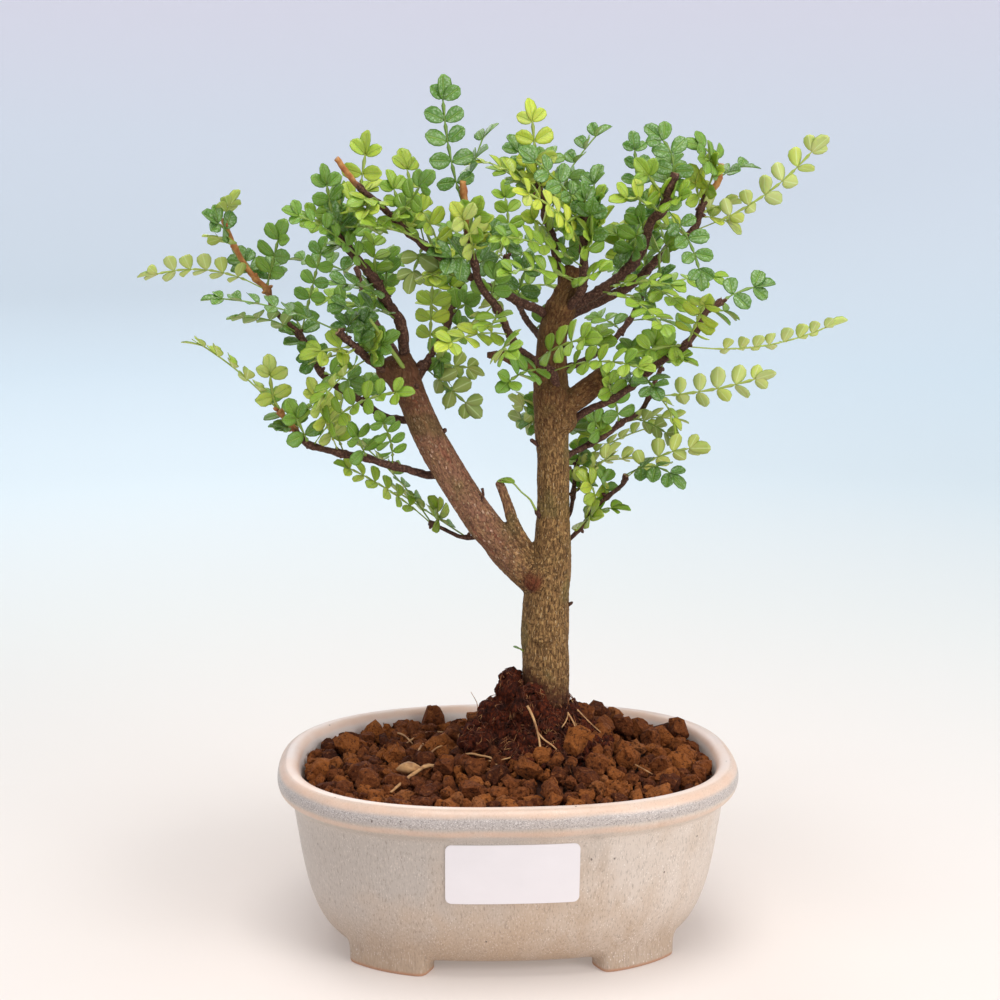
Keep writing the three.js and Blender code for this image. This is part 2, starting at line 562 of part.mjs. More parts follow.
function makeRootBall() {
  const sides = 16;
  const lumpy = (seed) => (x, y, side) => {
    const lump = ROOT_BALL_LUMP;
    const away = Math.hypot((x - lump.x) / lump.halfLength, (y - lump.y) / lump.halfDepth);
    const rough = ROOT_BALL_ROUGHNESS * (draw(seed + side) - 0.5);
    return soilHeight(x, y) + lump.height * Math.exp(-(away ** 2)) + rough;
  };
  const hole = (height) => {
    const ring = [];
    for (let side = 0; side < sides; side++) {
      const angle = (side / sides) * 2 * Math.PI;
      const radius = TRUNK_LINE[0][3] + TRUNK_HOLE_ROOM;
      ring.push(new THREE.Vector3(TRUNK_X + radius * Math.cos(angle), radius * Math.sin(angle), height));
    }
    return ring;
  };
  const mound = loft([
    rootBallRing(ROOT_BALL_RADIUS - 2.6, sides, () => ROOT_BALL_BOTTOM),
    rootBallRing(ROOT_BALL_RADIUS - 0.4, sides, (x, y) => soilHeight(x, y) - 0.6),
    rootBallRing(ROOT_BALL_RADIUS * 0.8, sides, lumpy(40)),
    rootBallRing(ROOT_BALL_RADIUS * 0.58, sides, lumpy(80)),
    hole(soilHeight(TRUNK_X, 0) + 0.6),
    hole(TRUNK_FOOT - GAP),
  ]);
  const clod = new THREE.IcosahedronGeometry(1, 1);
  clod.scale(...PEAT_CLOD.halves).translate(...PEAT_CLOD.middle);
  return joined([mound, solidOf(clod), ...MOUND_ROOTS.map(makeRoot)]);
}

// Trunk

function makeTrunk(grow = 0) {
  const trunk = stick(TRUNK_LINE, TRUNK_SIDES, 12, grow);
  const limb = stick(LIMB_LINE, 8, 8, grow);
  const stubs = STUB_LINES.map((line) => stick(line, 6, 3, grow));
  return joined([trunk, limb, ...stubs]);
}

// Leaves

// The smooth line of a leaf's rib and the way that it faces.
function leafLine(base, tip, facing, bow) {
  const along = tip.clone().sub(base).normalize();
  const front = new THREE.Vector3(0, -1, 0);
  if (Math.abs(along.y) > 0.93) front.set(0, 0, 1);
  const towardFront = front.addScaledVector(along, -front.dot(along)).normalize();
  const up = new THREE.Vector3().crossVectors(along, towardFront);
  if (up.z < 0) up.negate();
  const turn = THREE.MathUtils.degToRad(facing);
  const face = towardFront.multiplyScalar(Math.sin(turn)).addScaledVector(up, Math.cos(turn));
  const middle = base.clone().lerp(tip, 0.5).addScaledVector(up, 2 * bow);
  return { curve: new THREE.QuadraticBezierCurve3(base, middle, tip), face };
}

// One compound leaf: a rib with opposite leaflets and one at its end, as a thin sheet that is thickest along
// the rib. Both sides share the outline, and each has a ridge of its own, so the sheet never crosses itself.
function makeLeaf(base, tip, pairs, facing, bow, grow) {
  const { curve, face } = leafLine(base, tip, facing, bow);
  const length = curve.getLength();
  const step = (LAST_PAIR - FIRST_PAIR) / pairs;
  const width = Math.min(LEAFLET_WIDEST, LEAFLET_CLOSENESS * length * step) + 2 * grow;
  const points = [];
  const triangles = [];
  const add = (frame, side, along, up) =>
    points.push(
      frame.middle
        .clone()
        .addScaledVector(frame.side, side)
        .addScaledVector(frame.along, along)
        .addScaledVector(frame.normal, up),
    ) - 1;
  const frameAt = (share) => {
    const along = curve.getTangent(share);
    const side = new THREE.Vector3().crossVectors(along, face).normalize();
    const normal = new THREE.Vector3().crossVectors(side, along).normalize();
    return { middle: curve.getPoint(share), along, side, normal };
  };
  const ridgeAt = (frame, share = 1) =>
    [1, -1].map((hand) => add(frame, 0, 0, hand * (RIB_HALF_HEIGHT * share + grow)));
  const edgesAt = (frame, share = 1) =>
    [-1, 1].map((hand) => add(frame, hand * (RIB_HALF_WIDTH * share + grow), 0, 0));
  // A leaflet's outline on one hand of the rib, leaning forwards along it.
  const leafletOutline = (frame, hand, forward, long, half) =>
    [
      [LEAFLET_SHOULDER * long, -half],
      [long, 0],
      [LEAFLET_SHOULDER * long, half],
    ].map(([out, across]) => {
      const side = out * Math.sin(forward) - across * Math.cos(forward);
      const along = out * Math.cos(forward) + across * Math.sin(forward);
      return add(frame, hand * side, along, -LEAFLET_DROOP * out);
    });
  // The sheet between a joint of the ridges and a stretch of outline, above and below.
  const fan = ([top, bottom], outline, hand) => {
    const line = hand > 0 ? outline : [...outline].reverse();
    for (let index = 0; index + 1 < line.length; index++) {
      triangles.push(top, line[index], line[index + 1], bottom, line[index + 1], line[index]);
    }
  };
  const link = ([top, bottom], [nextTop, nextBottom], edge, hand) => {
    if (hand > 0) triangles.push(top, edge, nextTop, bottom, nextBottom, edge);
    else triangles.push(top, nextTop, edge, bottom, edge, nextBottom);
  };

  const start = frameAt(0);
  const startEdges = edgesAt(start, STALK_FOOT);
  let ridge = ridgeAt(start, STALK_FOOT);
  let notches = edgesAt(frameAt(FIRST_PAIR));
  triangles.push(ridge[0], startEdges[0], startEdges[1], ridge[1], startEdges[1], startEdges[0]);
  for (const side of [0, 1]) fan(ridge, [startEdges[side], notches[side]], 2 * side - 1);
  for (let pair = 0; pair < pairs; pair++) {
    const joint = frameAt(FIRST_PAIR + step * (pair + 0.5));
    const nextRidge = ridgeAt(joint);
    const nextNotches = edgesAt(frameAt(FIRST_PAIR + step * (pair + 1)));
    const long = LEAFLET_LENGTH_SHARE * width + grow;
    for (const side of [0, 1]) {
      const hand = 2 * side - 1;
      link(ridge, nextRidge, notches[side], hand);
      const outline = leafletOutline(joint, hand, LEAFLET_FORWARD, long, width / 2);
      fan(nextRidge, [notches[side], ...outline, nextNotches[side]], hand);
    }
    ridge = nextRidge;
    notches = nextNotches;
  }
  const end = frameAt(END_LEAFLET);
  const endRidge = ridgeAt(end);
  for (const side of [0, 1]) link(ridge, endRidge, notches[side], 2 * side - 1);
  const room = length * (1 - END_LEAFLET) + grow;
  const outline = leafletOutline(end, 1, 0, room, Math.min(width, END_LEAFLET_WIDTH * room) / 2);
  fan(endRidge, [notches[1], ...outline, notches[0]], 1);
  return solidFrom(points, triangles);
}

// Branches

function makeTwig({ line, radii }) {
  const radiusAt = (row) => THREE.MathUtils.lerp(...radii, row / (line.length - 1));
  const rows = line.map((point, row) => [...point, radiusAt(row)]);
  return stick(rows, TWIG_SIDES, Math.round(line.length / 2) + 1);
}

function boxesMeet(a, b) {
  const [p, q] = [a.boundingBox(), b.boundingBox()];
  return [0, 1, 2].every((axis) => p.min[axis] <= q.max[axis] && q.min[axis] <= p.max[axis]);
}

// Whether a solid shares no more than the allowed volume with each of the others.
function clearOf(solid, others, allowed) {
  return others.every((other) => !boxesMeet(solid, other) || solid.intersect(other).volume() <= allowed);
}

function makeBranches(trunkRoom) {
  const names = Object.keys(BRANCHES);
  const pieces = names.map((name) => [biggest(makeTwig(BRANCHES[name]).subtract(trunkRoom))]);
  names.forEach((name, owner) => {
    const { line, leaves } = BRANCHES[name];
    const [, ...grown] = pieces[owner];
    for (const [share, x, y, z, pairs, facing, bow] of leaves) {
      const base = smoothLine(line).getPointAt(share);
      const leafAt = (lean, grow) =>
        makeLeaf(base, new THREE.Vector3(x, y + lean, z), solidPairs(pairs), facing, bow, grow);
      const strangers = [trunkRoom, ...pieces.filter((_, other) => other !== owner).flat()];
      const free = LEANS.filter((lean) => clearOf(leafAt(lean, GAP), strangers, 0));
      const chosen = free.find((lean) => clearOf(leafAt(lean, 0), grown, JOINT_VOLUME)) ?? free[0];
      if (chosen === undefined) throw new Error(`no room for the leaf of ${name} at ${x}, ${y}, ${z}`);
      const leaf = leafAt(chosen, 0);
      grown.push(leaf);
      pieces[owner].push(leaf);
    }
  });
  return names.map((name, owner) => [`leafy_${name}`, biggest(joined(pieces[owner]))]);
}

// Finishes

const glaze = new THREE.MeshStandardMaterial({ color: "#b3aba6", roughness: 0.35, metalness: 0 });
const paper = new THREE.MeshStandardMaterial({ color: "#f3f2f0", roughness: 0.7, metalness: 0 });
const clay = new THREE.MeshStandardMaterial({ color: "#6b3318", roughness: 0.95, metalness: 0 });
const peat = new THREE.MeshStandardMaterial({ color: "#3a1a10", roughness: 1, metalness: 0 });
const bark = new THREE.MeshStandardMaterial({ color: "#7d6247", roughness: 0.85, metalness: 0 });
const leafGreen = new THREE.MeshStandardMaterial({ color: "#4f8a3c", roughness: 0.5, metalness: 0 });

// The whole plant

const bonsai = new THREE.Group();
bonsai.add(
  meshOf("pot", makePot(), glaze),
  meshOf("label", makeLabel(), paper),
  meshOf("soil", makeSoil(), clay),
  meshOf("root_ball", makeRootBall(), peat),
  meshOf("trunk", makeTrunk(), bark),
);
for (const [name, solid] of makeBranches(makeTrunk(GAP))) bonsai.add(meshOf(name, solid, leafGreen));

const box = new THREE.Box3().setFromObject(bonsai);
const middle = box.getCenter(new THREE.Vector3());
bonsai.position.set(-middle.x, -middle.y, -box.min.z);

export default bonsai;
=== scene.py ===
# %% [markdown]
# # Dressing a small bonsai
#
# The plant is a japanese pepper: a stout forked trunk, dark twigs and hundreds of small glossy leaflets,
# set in opposite pairs. It stands in baked clay granules in a low glazed pot. Its plain solids are ready,
# and they say where everything is. This lesson puts a finer skin on each of them, from the pot upwards.

# %% Load the plain model
import math
import random

import bmesh
import bpy
import numpy as np
from mathutils import Matrix, Vector, noise


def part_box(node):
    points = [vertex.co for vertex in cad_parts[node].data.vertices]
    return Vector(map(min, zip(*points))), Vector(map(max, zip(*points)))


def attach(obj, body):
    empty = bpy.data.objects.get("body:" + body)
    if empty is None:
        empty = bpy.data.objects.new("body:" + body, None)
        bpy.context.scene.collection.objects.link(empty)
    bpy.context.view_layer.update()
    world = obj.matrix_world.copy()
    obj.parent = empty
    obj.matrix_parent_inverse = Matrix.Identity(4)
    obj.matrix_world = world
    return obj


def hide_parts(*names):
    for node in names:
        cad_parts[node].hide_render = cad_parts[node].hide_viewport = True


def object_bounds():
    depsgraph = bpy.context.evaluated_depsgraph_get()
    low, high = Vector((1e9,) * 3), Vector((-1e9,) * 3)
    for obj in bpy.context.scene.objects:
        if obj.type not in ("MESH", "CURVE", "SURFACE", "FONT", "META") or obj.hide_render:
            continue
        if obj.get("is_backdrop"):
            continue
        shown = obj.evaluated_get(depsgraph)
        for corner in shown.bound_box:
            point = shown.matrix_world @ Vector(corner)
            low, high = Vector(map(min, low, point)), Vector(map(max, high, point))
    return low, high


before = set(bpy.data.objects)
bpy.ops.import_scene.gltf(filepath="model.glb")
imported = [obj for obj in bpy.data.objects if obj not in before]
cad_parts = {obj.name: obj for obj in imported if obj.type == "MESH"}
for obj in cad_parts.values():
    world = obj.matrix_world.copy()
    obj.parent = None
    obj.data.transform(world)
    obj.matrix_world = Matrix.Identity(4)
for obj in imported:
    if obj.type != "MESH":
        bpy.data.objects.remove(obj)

solid_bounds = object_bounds()
print("solids of the plain model:", len(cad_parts))

# %% [markdown]
# ## Lengths and places
#
# A bonsai is small, so millimetres read best. Everything below is drawn in millimetres, with the middle
# of the pot at x = y = 0 and its feet at z = 0. `settle` then brings a finished piece into the model's
# own metres, and hides the plain solids that it stands for. Its object stays at the origin, with the
# piece's place in its mesh.

# %% Lengths and places
MM = 0.001
pot_low, pot_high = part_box("pot")
POT_MIDDLE = Vector(((pot_low.x + pot_high.x) / 2, (pot_low.y + pot_high.y) / 2, pot_low.z))
TO_FRAME = Matrix.Translation(POT_MIDDLE) @ Matrix.Scale(MM, 4)


def settle(piece, name, slot, *nodes):
    piece.name = name
    piece.data.name = name
    piece.data.transform(TO_FRAME)
    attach(piece, "root")
    if nodes:
        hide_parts(*nodes)
    print(f"{name}: {sum(len(face.vertices) - 2 for face in piece.data.polygons)} triangles")
    return piece


# %% [markdown]
# ## The camera
#
# The photographer stood a little left of the middle and looked slightly down. The rim of a pot whose size
# is known tells where: its near and far edges fix the height, and how much they differ in length fixes
# the distance.

# %% The camera
camera_data = bpy.data.cameras.new("camera")
camera_data.lens = 61.2
camera_data.sensor_width = 36
camera_data.clip_start = 0.01
camera = bpy.data.objects.new("camera", camera_data)
bpy.context.collection.objects.link(camera)
camera.location = POT_MIDDLE + Vector((-35.4, -622.0, 270.0)) * MM
camera.rotation_euler = (math.radians(80.5), 0, math.radians(-3))
bpy.context.scene.camera = camera

# %% [markdown]
# ## Nodes written as sums
#
# A shader is a long sum of noises and masks, and wiring one by hand hides what it says. `Value` wraps a
# socket, so that `1 - mask * 0.5` adds the Math nodes by itself. `Paint` holds one material, and its
# `node` method makes every other node. All the patterns are worked out from the piece's own coordinates,
# in millimetres.


# %% Nodes written as sums
def colour(code):
    """A colour as painters write it, such as "b0a9a2", as the linear light that shaders reckon with."""
    parts = [int(code[place : place + 2], 16) / 255 for place in (0, 2, 4)]
    light = [part / 12.92 if part <= 0.04045 else ((part + 0.055) / 1.055) ** 2.4 for part in parts]
    return (*light, 1)


class Value:
    """The value that flows out of a socket. Each sign that is used on it adds one Math node."""

    def __init__(self, paint, socket):
        self.paint = paint
        self.socket = socket

    def maths(self, operation, *given):
        return self.paint.node("ShaderNodeMath", {"operation": operation}, dict(enumerate(given)))

    def __add__(self, other):
        return self.maths("ADD", self, other)

    def __sub__(self, other):
        return self.maths("SUBTRACT", self, other)

    def __rsub__(self, other):
        return self.maths("SUBTRACT", other, self)

    def __mul__(self, other):
        return self.maths("MULTIPLY", self, other)

    def __truediv__(self, other):
        return self.maths("DIVIDE", self, other)

    def __abs__(self):
        return self.maths("ABSOLUTE", self)

    __radd__ = __add__
    __rmul__ = __mul__

    def sine(self):
        return self.maths("SINE", self)

    def part(self, axis):
        """One of the three numbers of a vector: 0, 1 or 2."""
        return self.paint.node("ShaderNodeSeparateXYZ", {}, {0: self}, axis)

    def stretched(self, *factors):
        return self.paint.node("ShaderNodeVectorMath", {"operation": "MULTIPLY"}, {0: self, 1: factors})

    def rises(self, low, high):
        """0 up to low, 1 from high on, and smooth between. With low above high it falls instead."""
        smooth = {"interpolation_type": "SMOOTHSTEP"}
        if low > high:
            return 1 - self.rises(high, low)
        return self.paint.node("ShaderNodeMapRange", smooth, {0: self, 1: low, 2: high, 3: 0.0, 4: 1.0})


class Paint:
    """One material, and the nodes in it."""

    def __init__(self, name):
        self.material = bpy.data.materials.new(name)
        self.material.use_nodes = True
        self.tree = self.material.node_tree
        self.shader = self.tree.nodes["Principled BSDF"]

    def node(self, kind, settings, inputs, outlet=0):
        made = self.tree.nodes.new(kind)
        for name, setting in settings.items():
            if name == "stops":
                ramp = made.color_ramp
                for _ in setting[2:]:
                    ramp.elements.new(0.5)
                for element, (place, code) in zip(ramp.elements, setting):
                    element.position = place
                    element.color = colour(code)
            else:
                setattr(made, name, setting)
        for name, given in inputs.items():
            self.feed(made.inputs[name], given)
        return Value(self, made.outputs[outlet])

    def feed(self, socket, given):
        if isinstance(given, Value):
            self.tree.links.new(given.socket, socket)
        else:
            socket.default_value = given

    def here(self):
        """The place on the piece, in millimetres from the middle of the pot's foot."""
        spot = self.node("ShaderNodeTexCoord", {}, {}, "Object")
        inputs = {"Vector": spot, "Location": -POT_MIDDLE / MM, "Scale": (1 / MM,) * 3}
        return self.node("ShaderNodeMapping", {}, inputs)

    def attribute(self, name, outlet="Fac"):
        return self.node("ShaderNodeAttribute", {"attribute_name": name}, {}, outlet)

    def noise(self, where, size, detail=3.0, roughness=0.5):
        """Clouds between 0 and 1 whose lumps are about size millimetres."""
        inputs = {"Vector": where, "Scale": 1 / size, "Detail": detail, "Roughness": roughness}
        return self.node("ShaderNodeTexNoise", {}, inputs)

    def cells(self, where, size):
        """How far the nearest of many scattered points is, in cells of about size millimetres."""
        return self.node("ShaderNodeTexVoronoi", {}, {"Vector": where, "Scale": 1 / size})

    def mix(self, first, second, share):
        """A colour that is first where share is 0 and second where it is 1."""
        codes = [colour(given) if isinstance(given, str) else given for given in (first, second)]
        inputs = {0: share, 6: codes[0], 7: codes[1]}
        return self.node("ShaderNodeMix", {"data_type": "RGBA"}, inputs, 2)

    def ramp(self, value, *stops):
        return self.node("ShaderNodeValToRGB", {"stops": stops}, {0: value})

    def finish(self, base, roughness, height=None, depth=0.0, **fixed):
        """Sends the colour, the roughness and a relief that is depth millimetres deep to the shader."""
        self.feed(self.shader.inputs["Base Color"], base)
        self.feed(self.shader.inputs["Roughness"], roughness)
        if height is not None:
            bump = self.node("ShaderNodeBump", {}, {"Height": height, "Distance": depth * MM})
            self.feed(self.shader.inputs["Normal"], bump)
        for name, setting in fixed.items():
            self.shader.inputs[name.replace("_", " ")].default_value = setting
        return self.material


# %% [markdown]
# ## Floor and light
#
# The plant stands on a pale sweep, a floor that curves up into a backdrop all round, so no edge shows
# behind it. Its warm white turns to a pale blue with distance. The widest lamp stands in front on the
# right, and weaker ones fill in from the other sides, as in a small photo studio. The plain "Standard"
# view keeps the greens pure.

# %% The floor
SWEEP_FLAT = 0.6  # radius of the flat middle, in metres
SWEEP_BEND = 1.0  # where the curve would start from the middle
SWEEP_RADIUS = 2.6
SWEEP_RISE = 2.2
SWEEP_STEPS = 16
bpy.ops.object.select_all(action="DESELECT")
bpy.ops.mesh.primitive_circle_add(vertices=64, radius=SWEEP_FLAT, fill_type="TRIFAN")
floor = bpy.context.object
bpy.ops.object.mode_set(mode="EDIT")
edit = bmesh.from_edit_mesh(floor.data)
for vertex in edit.verts:
    vertex.select = vertex.co.length > 0.1
edit.select_flush_mode()
edges_radius = SWEEP_FLAT
edges_height = 0.0
for step in range(1, SWEEP_STEPS + 1):
    turn = math.radians(90 * step / SWEEP_STEPS)
    radius = SWEEP_RADIUS - (SWEEP_RADIUS - SWEEP_BEND) * (1 - math.sin(turn))
    height = SWEEP_RISE * (1 - math.cos(turn))
    bpy.ops.mesh.extrude_edges_move(TRANSFORM_OT_translate={"value": (0, 0, height - edges_height)})
    grow = radius / edges_radius
    bpy.ops.transform.resize(value=(grow, grow, 1), center_override=(0, 0, height))
    edges_radius = radius
    edges_height = height
bpy.ops.mesh.select_all(action="SELECT")
bpy.ops.mesh.normals_make_consistent(inside=True)
bpy.ops.object.mode_set(mode="OBJECT")
bpy.ops.object.shade_smooth()
floor.name = "pale_sweep"
floor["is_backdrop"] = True

sweep = Paint("pale_sweep")
spot = sweep.node("ShaderNodeTexCoord", {}, {}, "Object")
away = sweep.node("ShaderNodeVectorMath", {"operation": "LENGTH"}, {0: spot}, "Value")
climb = away * 0.27 + spot.part(2) * 0.3
NEAR_TONES = ((0.03, "cfc6bf"), (0.15, "cccecb"), (0.29, "cad5d9"))
FAR_TONES = ((0.42, "cad8e0"), (0.53, "d0dae2"), (0.64, "d4dbe4"), (0.76, "dad9e3"))
sweep_colour = sweep.ramp(climb, *NEAR_TONES, *FAR_TONES)
sweep.feed(sweep.shader.inputs["Emission Color"], sweep_colour)
floor.data.materials.append(sweep.finish(sweep_colour, 0.9, Specular_IOR_Level=0.1, Emission_Strength=0.35))

# %% The lamps
LAMPS = {
    # name: place, size, watts; each lamp is turned towards the crown
    "lamp_above": ((0.0, -0.25, 1.2), 0.6, 9.0),
    "lamp_right": ((1.0, -0.9, 0.7), 0.7, 9.5),
    "lamp_left": ((-1.1, -0.8, 0.6), 0.8, 1.4),
    "lamp_behind": ((-0.3, 1.1, 0.9), 0.8, 4.5),
}
AIM = Vector((0, 0, 0.15))
for name, (place, size, watts) in LAMPS.items():
    lamp_data = bpy.data.lights.new(name, "AREA")
    lamp_data.energy = watts
    lamp_data.size = size
    lamp = bpy.data.objects.new(name, lamp_data)
    bpy.context.collection.objects.link(lamp)
    lamp.location = place
    lamp.rotation_euler = (AIM - Vector(place)).to_track_quat("-Z", "Y").to_euler()

world = bpy.data.worlds.new("soft_white")
world.use_nodes = True
world.node_tree.nodes["Background"].inputs["Color"].default_value = (0.97, 0.98, 1.0, 1)
world.node_tree.nodes["Background"].inputs["Strength"].default_value = 0.3
bpy.context.scene.world = world
bpy.context.scene.view_settings.view_transform = "Standard"

# %% [markdown]
# ## The pot
#
# The pot was thrown in a mould: a soft rectangle, a belly that curves in to four low feet, and a rolled
# lip. In edit mode one ring of its underside is extruded and resized from row to row, out to the wall, up
# it, over the lip and down inside. The faces under the corners are extruded down to make the feet. A
# subdivision surface then rounds it all, as glaze does.

# %% The pot's sizes
POT_HALF_LENGTH = 87
POT_HALF_DEPTH = 67.5
POT_ROUNDNESS = 2.5
POT_SIDES = 64
FOOT_ANGLES = (33, 68)
FOOT_ROWS = (16.6, 27.0)
DRAIN_OFFSET = 26
DRAIN_RADIUS = 5.5
DRAIN_TOP = 7.0
# Each row is how far in from the lip's widest line, and how high, from the underside round to the inside.
POT_ROWS = [
    (50, 4.5), (35, 4.5), (27, 4.5), (22.4, 4.5), (20.6, 5.2), (16.6, 9.4), (12.7, 17), (9.6, 28),
    (7.5, 42), (5.9, 53.4), (5.1, 56.2), (3.4, 57.6), (1.2, 59.3), (0.1, 61.8), (0, 64.2), (0.6, 66.6),
    (2.4, 68.5), (4.8, 69), (7, 68.3), (8.4, 66.2), (9.2, 62), (13.6, 30), (17, 14), (26, 9.6), (50, 9.5),
]


def power_of(value, exponent):
    return math.copysign(abs(value) ** exponent, value)


def pot_point(angle, inset, height):
    """A point of the pot's soft rectangle. The angle is in radians and runs round it."""
    x = (POT_HALF_LENGTH - inset) * power_of(math.cos(angle), 2 / POT_ROUNDNESS)
    y = (POT_HALF_DEPTH - inset) * power_of(math.sin(angle), 2 / POT_ROUNDNESS)
    return Vector((x, y, height))


def pot_place(x, y):
    """The angle and the inset at which pot_point gives x and y."""
    low, high = -10.0, POT_HALF_DEPTH - 0.1
    for _ in range(30):
        inset = (low + high) / 2
        across = power_of(x / (POT_HALF_LENGTH - inset), POT_ROUNDNESS / 2)
        deep = power_of(y / (POT_HALF_DEPTH - inset), POT_ROUNDNESS / 2)
        if math.hypot(across, deep) < 1:
            low = inset
        else:
            high = inset
    return math.atan2(deep, across), inset


def inside_pot(x, y, inset):
    across = abs(x) / (POT_HALF_LENGTH - inset)
    deep = abs(y) / (POT_HALF_DEPTH - inset)
    return across**POT_ROUNDNESS + deep**POT_ROUNDNESS < 1


# %% The pot's rings
def pick(piece):
    """Makes a piece the only selected one and the active one."""
    bpy.ops.object.select_all(action="DESELECT")
    piece.select_set(True)
    bpy.context.view_layer.objects.active = piece


def apply_modifier(piece, kind, **settings):
    """Gives the active piece a modifier, sets it up and applies it."""
    modifier = piece.modifiers.new(kind, kind)
    for name, setting in settings.items():
        setattr(modifier, name, setting)
    bpy.ops.object.modifier_apply(modifier=modifier.name)


def store(mesh, name, values):
    """Keeps one number for each point of a mesh, which the mesh's material can read."""
    mesh.attributes.new(name, "FLOAT", "POINT").data.foreach_set("value", values)


def soft_ring(sides, inset, height):
    """A new circle, pulled into the pot's soft rectangle and left selected in edit mode."""
    bpy.ops.object.select_all(action="DESELECT")
    bpy.ops.mesh.primitive_circle_add(vertices=sides, radius=1)
    ring = bpy.context.object
    for vertex in ring.data.vertices:
        vertex.co = pot_point(math.atan2(vertex.co.y, vertex.co.x), inset, height)
    bpy.ops.object.mode_set(mode="EDIT")
    bpy.ops.mesh.select_all(action="SELECT")
    return ring


def extrude_rows(rows):
    """Extrudes the selected soft ring, which lies at the first row, to each of the other rows."""
    for (inset, height), (next_inset, next_height) in zip(rows, rows[1:]):
        bpy.ops.mesh.extrude_edges_move(TRANSFORM_OT_translate={"value": (0, 0, next_height - height)})
        wider = (POT_HALF_LENGTH - next_inset) / (POT_HALF_LENGTH - inset)
        deeper = (POT_HALF_DEPTH - next_inset) / (POT_HALF_DEPTH - inset)
        bpy.ops.transform.resize(value=(wider, deeper, 1), center_override=(0, 0, next_height))


pot = soft_ring(POT_SIDES, *POT_ROWS[0])
extrude_rows(POT_ROWS)
bpy.ops.mesh.select_all(action="SELECT")
bpy.ops.mesh.fill_holes(sides=0)
bpy.ops.mesh.normals_make_consistent(inside=False)

# %% The feet
FOOT_EDGE = 0.9  # width of the tight ring that keeps a foot's underside flat


def over_a_foot(face):
    """Whether a face of the underside, or of the wall's lowest curve, lies over one of the four feet."""
    middle = face.calc_center_median()
    angle, inset = pot_place(middle.x, middle.y)
    turned = math.degrees(math.atan2(abs(math.sin(angle)), abs(math.cos(angle))))
    beneath = middle.z < 9 and len(face.verts) == 4
    return beneath and FOOT_ANGLES[0] < turned < FOOT_ANGLES[1] and FOOT_ROWS[0] < inset < FOOT_ROWS[1]


bpy.ops.mesh.select_all(action="DESELECT")
edit = bmesh.from_edit_mesh(pot.data)
for face in edit.faces:
    if over_a_foot(face):
        face.select = True
edit.select_flush_mode()
print("faces over the feet:", sum(face.select for face in edit.faces))
bpy.ops.mesh.extrude_region_move(TRANSFORM_OT_translate={"value": (0, 0, -2)})
bpy.ops.transform.resize(value=(1, 1, 0.5), center_override=(0, 0, 0))
bpy.ops.mesh.extrude_region_move(TRANSFORM_OT_translate={"value": (0, 0, -1)})
bpy.ops.transform.resize(value=(1, 1, 0), center_override=(0, 0, 0))
bpy.ops.mesh.inset(thickness=FOOT_EDGE)
bpy.ops.object.mode_set(mode="OBJECT")

apply_modifier(pot, "SUBSURF", levels=2, render_levels=2)

# %% The drain holes
for side in (-1, 1):
    bpy.ops.mesh.primitive_cylinder_add(
        vertices=40, radius=DRAIN_RADIUS, depth=2 * DRAIN_TOP, location=(side * DRAIN_OFFSET, 0, 0)
    )
    drill = bpy.context.object
    bpy.context.view_layer.objects.active = pot
    apply_modifier(pot, "BOOLEAN", object=drill, operation="DIFFERENCE")
    bpy.data.objects.remove(drill)

pick(pot)
bpy.ops.object.shade_smooth_by_angle(angle=math.radians(50))
WALL_HEIGHTS = (9.4, 17, 30, 55, 66, 69)
WALL_MIDDLES = (20, 14.6, 11.5, 7.9, 5.2, 3.4)  # how far in the middle of the wall lies at those heights
FLOOR_MIDDLE = 9  # height
inner = []
for vertex in pot.data.vertices:
    x, y, z = vertex.co
    half_wall = np.interp(z, WALL_HEIGHTS, WALL_MIDDLES)
    inner.append(float(z > FLOOR_MIDDLE and inside_pot(x, y, half_wall)))
store(pot.data, "inner", inner)

# %% [markdown]
# ## The glaze
#
# The glaze is a milky grey that ran down in the kiln. It is thin and lets the peach clay through where it
# slid off an edge: along the top of the lip and in the crease below it. Lower down, and on the right, it
# turns beige. It is full of fine pale crystals drawn out into short streaks, and dark pits are left where
# bubbles burst. An attribute tells the inner wall from the outside, and the inner wall is painted paler:
# painted light, which keeps it bright in the shade inside the pot.

# %% The glaze
# Where the glaze is thin: the height, the reach up and down, and how thin.
LIP_LINES = ((67.6, 2.2, 0.9), (60.3, 2.2, 0.7))
glaze = Paint("grey_glaze")
here = glaze.here()
height = here.part(2)
wander = glaze.noise(here, 22, 2)
patches = glaze.noise(here.stretched(1, 1, 0.4), 13, 4, 0.6)
warmth = (44 - height) / 90 + here.part(0) / 150 + (wander - 0.5) * 1.2
body = glaze.mix("b9ada2", "c2aa93", warmth.rises(-0.3, 0.35))
cream = (here.part(0) + (wander - 0.5) * 60 + (patches - 0.5) * 70).rises(4, 44)
body = glaze.mix(body, "d6c7b9", cream * (0.45 + patches.rises(0.3, 0.6) * 0.45))
body = glaze.mix(body, "a98d70", (height + (patches - 0.5) * 16).rises(30, 3) * 0.6)
streaks = glaze.noise(here.stretched(1.6, 1.6, 0.34), 0.9, 3, 0.7)
body = glaze.mix(body, "857568", streaks.rises(0.47, 0.33) * 0.5)
body = glaze.mix(body, "d9c9ba", streaks.rises(0.55, 0.7) * 0.5)
crystals = glaze.cells(here.stretched(1, 1, 0.45), 0.75).rises(0.3, 0.1)
crystals = crystals * glaze.noise(here, 5, 2).rises(0.36, 0.6)
body = glaze.mix(body, "f3e8de", crystals * (0.4 + cream * 0.35))
in_band = abs(height - 64.3).rises(2.6, 1.2)
body = glaze.mix(body, "ada19b", in_band * 0.7)
body = glaze.mix(body, "7f7671", in_band * glaze.noise(here, 0.55, 1).rises(0.5, 0.66) * 0.6)
band_grain = glaze.noise(here.stretched(1, 1, 2), 0.5, 1).rises(0.54, 0.68)
